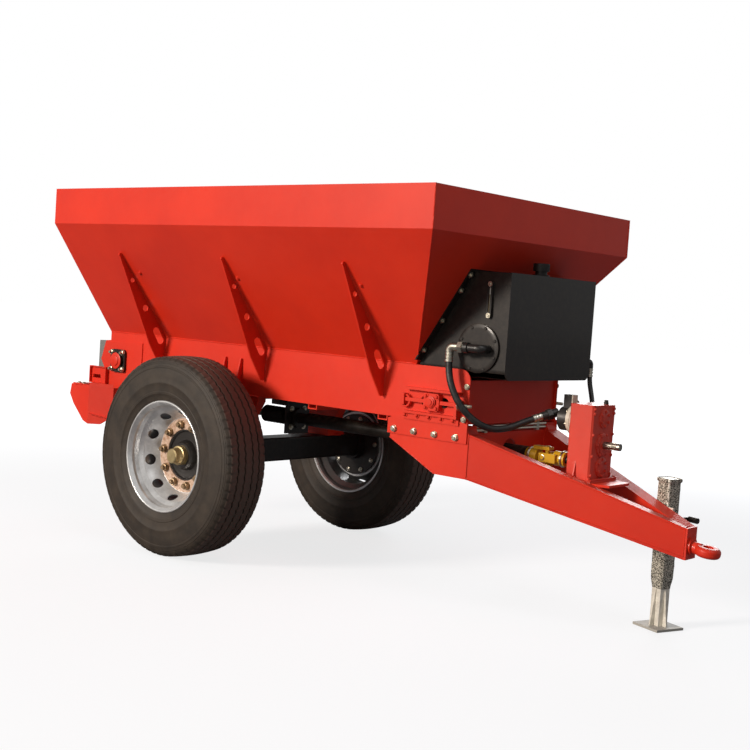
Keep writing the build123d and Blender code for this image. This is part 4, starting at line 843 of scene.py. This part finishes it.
# Moulded plastic has the enamel's even gloss with no clear coat over it.
black_moulding = enamel("black_moulded_plastic", "#161515", "#232120", 0.42, dust=0.3, coat=0.0)
shape = bmesh.new()
plug = ((0.0, 0.014), (0.010, 0.014), (0.012, 0.011), (0.020, 0.011), (0.022, 0.008))
turned(shape, plug, (axle_x + 2.125, 0.060, 1.0295), (0, 0, 1), facets=6)
finish_piece("gearbox_breather", shape, black_moulding, "chassis")

# ---------------------------------------------------------------- driveline
# A steel shaft in black enamel runs back to the discs through a bolted hanging bearing. A
# rubber bellows covers its sliding joint, and a yellow universal joint drives its front end.

# The rubber gathers the enamel's dust, but is duller and has no coat.
yellow_enamel = enamel("yellow_joint_enamel", "#D9A91E", "#B98A18", 0.34, dust=0.35, coat=0.2)
rubber_boot = enamel("moulded_rubber_bellows", "#161412", "#26221E", 0.55, dust=0.4, coat=0.0)
paint(black_enamel, "driveline", "centre_bearing")
paint(yellow_enamel, "universal_joint")
paint(rubber_boot, "shaft_boot")
joint_low, joint_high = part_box("universal_joint")
joint_x, _, line_z = middle_of("universal_joint")
shape = bmesh.new()
for way in ((0, 1, 0), (0, -1, 0), (0, 0, 1), (0, 0, -1)):
    bearing_cap = ((0.0495, 0.0135), (0.0515, 0.0150), (0.0525, 0.0135))
    turned(shape, bearing_cap, (joint_x, 0, line_z), way, facets=24)
for x in (joint_low.x + 0.01, joint_high.x - 0.024):
    clamp = ((0.0, 0.0365), (0.004, 0.040), (0.010, 0.040), (0.014, 0.0365))
    turned(shape, clamp, (x, 0, line_z), (1, 0, 0), facets=36)
finish_piece("joint_caps_and_collars", shape, zinc_bolt, "shaft_line")
hanging = [(axle_x + 0.145, y, line_z + z) for y, z in around(4, 0.0729, 45)]
bolts("hanging_bearing_bolts", "chassis", hanging, (1, 0, 0), 0.018, zinc_bolt)

# ---------------------------------------------------------------- spreading gear
# Faceted red guards and slotted stubs beside a galvanised chute, over two discs of bare
# steel. Plated bolts hold the discs to their hubs, the guards to their arms, and the gate.
galvanised, tree, where = blank_material("hot_dip_galvanised_steel")
# Zinc crystals 12 mm wide, each with its own brightness.
spangle = add(tree, "ShaderNodeTexVoronoi", {"Vector": where, "Scale": 80.0})
flake = add(tree, "ShaderNodeSeparateColor", {0: spangle.outputs["Color"]})
cloud = add(tree, "ShaderNodeTexNoise", {"Vector": where, "Scale": 14.0, "Detail": 5.0})
mixed = add(tree, "ShaderNodeMix", {0: 0.55, 2: flake, 3: cloud}, data_type="FLOAT")
tone = add(tree, "ShaderNodeMix", {0: mixed, 6: "#A9ABA8", 7: "#72736F"}, data_type="RGBA")
dull = add(tree, "ShaderNodeMapRange", {"Value": mixed, "To Min": 0.30, "To Max": 0.52})
close_material(tree, {"Base Color": tone, "Metallic": 0.75, "Roughness": dull})
paint(red_enamel, "gearbox_hanger", "side_outriggers", "spreader_guards", "guard_brackets", "rear_gate",
      "gate_guides")
paint(galvanised, "discharge_hood")
paint(worn_steel, "spreading_disc_right", "spreading_disc_left")
disc = middle_of("spreading_disc_right")
disc_plate_z = 0.6958
for name, side in sides:
    hub_bolts = [(disc.x + x, -side * disc.y + y, disc_plate_z) for x, y in around(4, 0.022)]
    bolts(f"disc_bolts_{name}", f"spinner_{name}", hub_bolts, (0, 0, 1), 0.013, zinc_bolt,
          height=0.006)
    plate_bolts = [(axle_x + x, side * 0.515, 0.8200) for x in (-1.260, -1.210)]
    bolts(f"guard_bolts_{name}", "chassis", plate_bolts, (0, 0, 1), 0.017, zinc_bolt,
          height=0.008)
# Each guard has a folded edge along its top, and a drip lip across its slanting panel. A strip
# runs from near to far, behind the axle, and is as thick as out and as high as rise.
strips = (
    ((-1.300, 0.5305, 0.811), (-1.122, 0.543, 0.811), (0, 0.003), 0.0098),
    ((-1.121, 0.543, 0.811), (-0.980, 0.471, 0.811), (0.0014, 0.0027), 0.0220),
    ((-1.110, 0.539, 0.647), (-0.977, 0.470, 0.622), (0.0092, 0.0180), -0.003))
for name, side in sides:
    shape = bmesh.new()
    for near, far, out, rise in strips:
        ends = []
        for x, y, z in (near, far):
            ends.append([shape.verts.new((axle_x + x + i * out[0], side * (y + i * out[1]), z + j * rise))
                         for i, j in ((0, 0), (1, 0), (1, 1), (0, 1))])
        join_rings(shape, ends)
        for end in ends:
            shape.faces.new(end)
    finish_piece(f"guard_edges_{name}", shape, red_enamel, "chassis")
gate_low, gate_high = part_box("rear_gate")
lift_bolts = [(gate_low.x + 0.0255, y, gate_high.z - 0.070) for y in (-0.16, 0.16)]
bolts("gate_bolts", "gate", lift_bolts, (-1, 0, 0), 0.017, zinc_bolt, height=0.008)

# ---------------------------------------------------------------- oil tank
# Black enamelled sheet tank on a bolted flange, with a round service cover, a level gauge in
# a dark frame, and a ribbed plastic filler cap.
paint(black_enamel, "oil_tank", "tank_cover")
# Its flange lies on the hopper's sloping front.
front_slope = (band_front - fold_front) / (band_z - fold_z)
for name, side in sides:
    flange_bolts = [(fold_front + front_slope * (z - fold_z) + 0.0062, side * 0.4035, z)
                    for z in (1.225, 1.375, 1.525, 1.600)]
    bolts(f"tank_flange_bolts_{name}", "chassis", flange_bolts, (1, 0, -front_slope), 0.017, zinc_bolt,
          height=0.008, thread=0.004)
cover_x, cover_z = axle_x + 1.673, 1.258
rim_bolts = [(cover_x + x, -0.389, cover_z + z) for x, z in around(8, 0.104, 22.5)]
bolts("cover_bolts", "chassis", rim_bolts, (0, -1, 0), 0.0165, black_enamel,
      height=0.0068, washer=0.0125)
shape = bmesh.new()
flat_ring = ((0.0, 0.094), (0.0, 0.118), (0.003, 0.118), (0.0045, 0.1155), (0.0045, 0.094))
turned(shape, flat_ring, (cover_x, -0.3885, cover_z), (0, -1, 0), facets=64)
finish_piece("cover_ring", shape, black_enamel, "chassis")

paint(black_moulding, "level_gauge", "filler_cap")
gauge_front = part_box("level_gauge")[0].y
gauge_x, _, gauge_z = middle_of("level_gauge")
sight_glass, tree, where = blank_material("acrylic_sight_tube")
parts = add(tree, "ShaderNodeSeparateXYZ", {0: where})
# Brown oil stands two thirds up; above it the tube is empty and hazy.
oil = add(tree, "ShaderNodeMath", {0: parts.outputs["Z"], 1: gauge_z + 0.025}, operation="LESS_THAN")
tint = add(tree, "ShaderNodeMix", {0: oil, 6: "#A9A8A0", 7: "#5C5138"}, data_type="RGBA")
haze = add(tree, "ShaderNodeTexNoise", {"Vector": where, "Scale": 60.0, "Detail": 3.0})
clear = add(tree, "ShaderNodeMapRange", {"Value": haze, "To Min": 0.04, "To Max": 0.14})
close_material(tree, {"Base Color": tint, "Roughness": clear, "IOR": 1.49, "Transmission Weight": 0.35})
shape = bmesh.new()
turned(shape, ((0.0, 0.0055), (0.118, 0.0055)), (gauge_x, gauge_front + 0.006, gauge_z - 0.059), (0, 0, 1),
       facets=20)
finish_piece("gauge_tube", shape, sight_glass, "chassis")
ends = [(gauge_x, gauge_front, gauge_z + dz) for dz in (-0.074, 0.074)]
bolts("gauge_bolts", "chassis", ends, (0, -1, 0), 0.013, zinc_bolt, height=0.005)

# Finger ribs round the filler cap, 10 mm apart along a circle.
cap_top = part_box("filler_cap")[1].z
cap_x, cap_y, _ = middle_of("filler_cap")
finger = blocks("finger_rib", ((0, 0, 0), (0.003, 0.030, 0.003)))
circle = [(cap_x + x, cap_y + y, cap_top - 0.0195) for x, y in around(48, 0.0395)]
row("cap_ribs", finger, circle, True, 0.0103, black_moulding, level=(0, 0, 1))

# ---------------------------------------------------------------- pump and pipes
# Pump with a cream mounting flange and black body; black elbows at the tank, plated ones at
# the hose, and two plated steel pipes across the front.

# Cream primer on the flange and black enamel on the body, both dulled by oily grime.
pump_paint, tree, where = blank_material("cream_and_black_pump_paint")
parts = add(tree, "ShaderNodeSeparateXYZ", {0: where})
grime, cream, dull = clouded(tree, where, 50.0, 6.0, ("#E6DECF", "#B7AC98"), rough=(0.3, 0.55))
flange_part = add(tree, "ShaderNodeMath", {
    0: parts.outputs["X"], 1: axle_x + 1.9835}, operation="GREATER_THAN")
dark = add(tree, "ShaderNodeMix", {0: grime, 6: "#1B1A19", 7: "#302D2A"}, data_type="RGBA")
both = add(tree, "ShaderNodeMix", {0: flange_part, 6: dark, 7: cream}, data_type="RGBA")
close_material(tree, {"Base Color": both, "Roughness": dull, "IOR": 1.5})
paint(pump_paint, "hydraulic_pump")
paint(zinc_plate, "steel_pipes")
pump_flange_x, pump_z = axle_x + 1.983, 0.944
pump_bolts = [(pump_flange_x, y, pump_z + z) for y, z in around(6, 0.060, 20)]
bolts("pump_bolts", "chassis", pump_bolts, (-1, 0, 0), 0.013, zinc_bolt, height=0.007)

fittings, tree, where = blank_material("phosphated_and_plated_fittings")
parts = add(tree, "ShaderNodeSeparateXYZ", {0: where})
_, plated, dull = clouded(tree, where, 70.0, 5.0, ("#C9C4B4", "#8F8D86"), rough=(0.25, 0.5))
# Forward of the union the elbow is black phosphate; behind it, plated like the hose end.
phosphated = add(tree, "ShaderNodeMath", {
    0: parts.outputs["X"], 1: axle_x + 1.640}, operation="GREATER_THAN")
both = add(tree, "ShaderNodeMix", {0: phosphated, 6: plated, 7: "#1E1C1B"}, data_type="RGBA")
bare = add(tree, "ShaderNodeMath", {0: 1.0, 1: phosphated}, operation="SUBTRACT")
close_material(tree, {"Base Color": both, "Metallic": bare, "Roughness": dull})
paint(fittings, "tank_elbows")

# ---------------------------------------------------------------- hoses
# Two oil-resistant rubber hoses with a smooth black cover: a suction hose from the tank to the
# pump, and a thinner return hose from the pump's valve to the tank's left side.

# A matt black cover that greys a little where hands and dust have been.
black_hose, tree, where = blank_material("nitrile_hose_cover")
_, cover, dull = clouded(
    tree, where, 45.0, 6.0, ("#141313", "#34312F"), rough=(0.32, 0.55), band=(0.45, 0.75), grit=0.7)
# The cloth wrap that the cover was cured in leaves a 6 mm print, drawn as fine ridges.
wrap = add(tree, "ShaderNodeTexWave", {
    "Vector": where, "Scale": 55.0, "Distortion": 1.5}, bands_direction="Z")
ridges = add(tree, "ShaderNodeBump", {"Strength": 0.12, "Distance": 0.0008, "Height": wrap.outputs["Fac"]})
close_material(tree, {"Base Color": cover, "Roughness": dull, "IOR": 1.5, "Normal": ridges})

suction_route = (
    (0.8785, -0.455, 1.232), (0.8785, -0.455, 1.154), (0.9065, -0.460, 1.068),
    (0.9545, -0.440, 0.975), (1.0045, -0.380, 0.905), (1.0505, -0.300, 0.872),
    (1.0905, -0.208, 0.884), (1.1265, -0.125, 0.920), (1.1705, -0.062, 0.944))
return_route = (
    (1.1305, 0.425, 1.180), (1.1305, 0.425, 1.116), (1.1545, 0.416, 1.046),
    (1.1885, 0.380, 0.990), (1.2205, 0.318, 0.958), (1.2485, 0.245, 0.952),
    (1.2705, 0.172, 0.970), (1.2825, 0.108, 0.999), (1.2875, 0.054, 1.020))
for name, route, radius, length in (
        ("suction_hose", suction_route, 0.0165, 0.751), ("return_hose", return_route, 0.0125, 0.572)):
    curve = bpy.data.curves.new(name, "CURVE")
    curve.dimensions = "3D"
    line = curve.splines.new("NURBS")
    line.points.add(len(route) - 1)
    for point, place in zip(line.points, route):
        point.co = place + (1.0,)
    line.order_u = 3
    line.use_endpoint_u = True
    curve.resolution_u = 12
    curve.bevel_depth = radius
    curve.bevel_resolution = 6
    curve.materials.append(black_hose)
    tube = bpy.data.objects.new(name + "_cover", curve)
    scene.collection.objects.link(tube)
    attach(tube, "chassis")
    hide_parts(name)
    # Crimped ferrules: a plated sleeve with three pressed rings at each end.
    shape = bmesh.new()
    sleeve = radius + 0.0035
    pressed = sleeve - 0.002
    crimps = (
        (0.001, radius + 0.001), (0.002, sleeve), (0.012, sleeve), (0.014, pressed), (0.017, pressed),
        (0.019, sleeve), (0.028, sleeve), (0.030, pressed), (0.033, pressed), (0.035, sleeve),
        (0.046, sleeve), (0.048, radius + 0.0005))
    for end, inward in ((route[0], route[1]), (route[-1], route[-2])):
        turned(shape, crimps, end, (Vector(inward) - Vector(end)).normalized())
    ferrules = finish_piece(name + "_ferrules", shape, zinc_plate, "chassis")

# ---------------------------------------------------------------- parking jack
# Galvanised jack whose square tube is still wrapped in mottled grey packing film, with a
# black folding crank.

# Freshly dipped zinc is pale and barely mirrors. The foot, which stands on the ground, is
# greyer and duller.
bright_zinc = metal(
    "bright_zinc_coating", "#F0EDE3", "#CFCBC0", 0.30, 0.50, 30.0, 0.15, scuffed_below=0.013)
paint(bright_zinc, "jack_tube", "jack_leg")
paint(black_enamel, "jack_crank")
film, tree, where = blank_material("woven_polythene_packing_film")
# Glossy film in flecks 5 mm wide, from charcoal to near white, under shallow creases. The flecks are partly
# the film's own mottle and partly painted glints and shade of its crumples.
_, tone, shine = clouded(
    tree, where, 210.0, 3.0, ("#35322C", "#D8D4C6"), rough=(0.18, 0.40), band=(0.47, 0.56), grit=0.6)
crease = add(tree, "ShaderNodeTexNoise", {"Vector": where, "Scale": 28.0, "Detail": 2.0, "Distortion": 0.8})
crumple = add(tree, "ShaderNodeBump", {"Strength": 0.35, "Distance": 0.003, "Height": crease})
close_material(tree, {"Base Color": tone, "Roughness": shine, "IOR": 1.5, "Normal": crumple})
jack_x, jack_y, _ = middle_of("jack_leg")
# It stands square to the rail that it is clamped to.
jack_turn = -atan2(run_y - nose_y, nose_x - run_x)
film_thickness = 0.0012


def wrap_film(name, body, levels, seed):
    """A crumpled square sleeve round the jack: levels are (height, half width)."""
    shape = bmesh.new()
    rings = []
    chance = Random(seed)
    facets = 40
    # Up the outside, then down the inside.
    for z, half in levels + [(z, half - film_thickness) for z, half in levels[::-1]]:
        ring = []
        for i in range(facets):
            angle = 2 * pi * i / facets
            square = half / max(abs(cos(angle)), abs(sin(angle)))
            reach = min(square, 1.28 * half) + chance.uniform(-0.0003, 0.0007)
            x = jack_x + reach * cos(angle + jack_turn)
            y = jack_y + reach * sin(angle + jack_turn)
            ring.append(shape.verts.new((x, y, z)))
        rings.append(ring)
    join_rings(shape, rings + rings[:1])
    return finish_piece(name, shape, film, body, smooth=60)


# Some turns of the film stand out as folds, and its top flares out round the tube's cap.
upper = [(0.548 + 0.0160 * i, 0.0395 + 0.0008 * (i % 3 == 1)) for i in range(10)]
wrap_film("film_at_the_top", "chassis", upper + [(0.6985, 0.0450), (0.7090, 0.0455), (0.7130, 0.0450)], 3)
middle = [(0.272 + 0.0125 * i, 0.0405 + 0.0006 * (i % 4 == 2)) for i in range(15)]
wrap_film("film_below_the_rail", "chassis", middle, 4)
# The loose end round the top of the leg rides on no body, so it stays put as the leg slides.
lower = [
    (0.190, 0.0325), (0.202, 0.0340), (0.215, 0.0360), (0.228, 0.0380), (0.240, 0.0393), (0.252, 0.0402),
    (0.262, 0.0405), (0.2705, 0.0405)]
loose_end = wrap_film("film_over_the_leg", None, lower, 5)
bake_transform(loose_end)
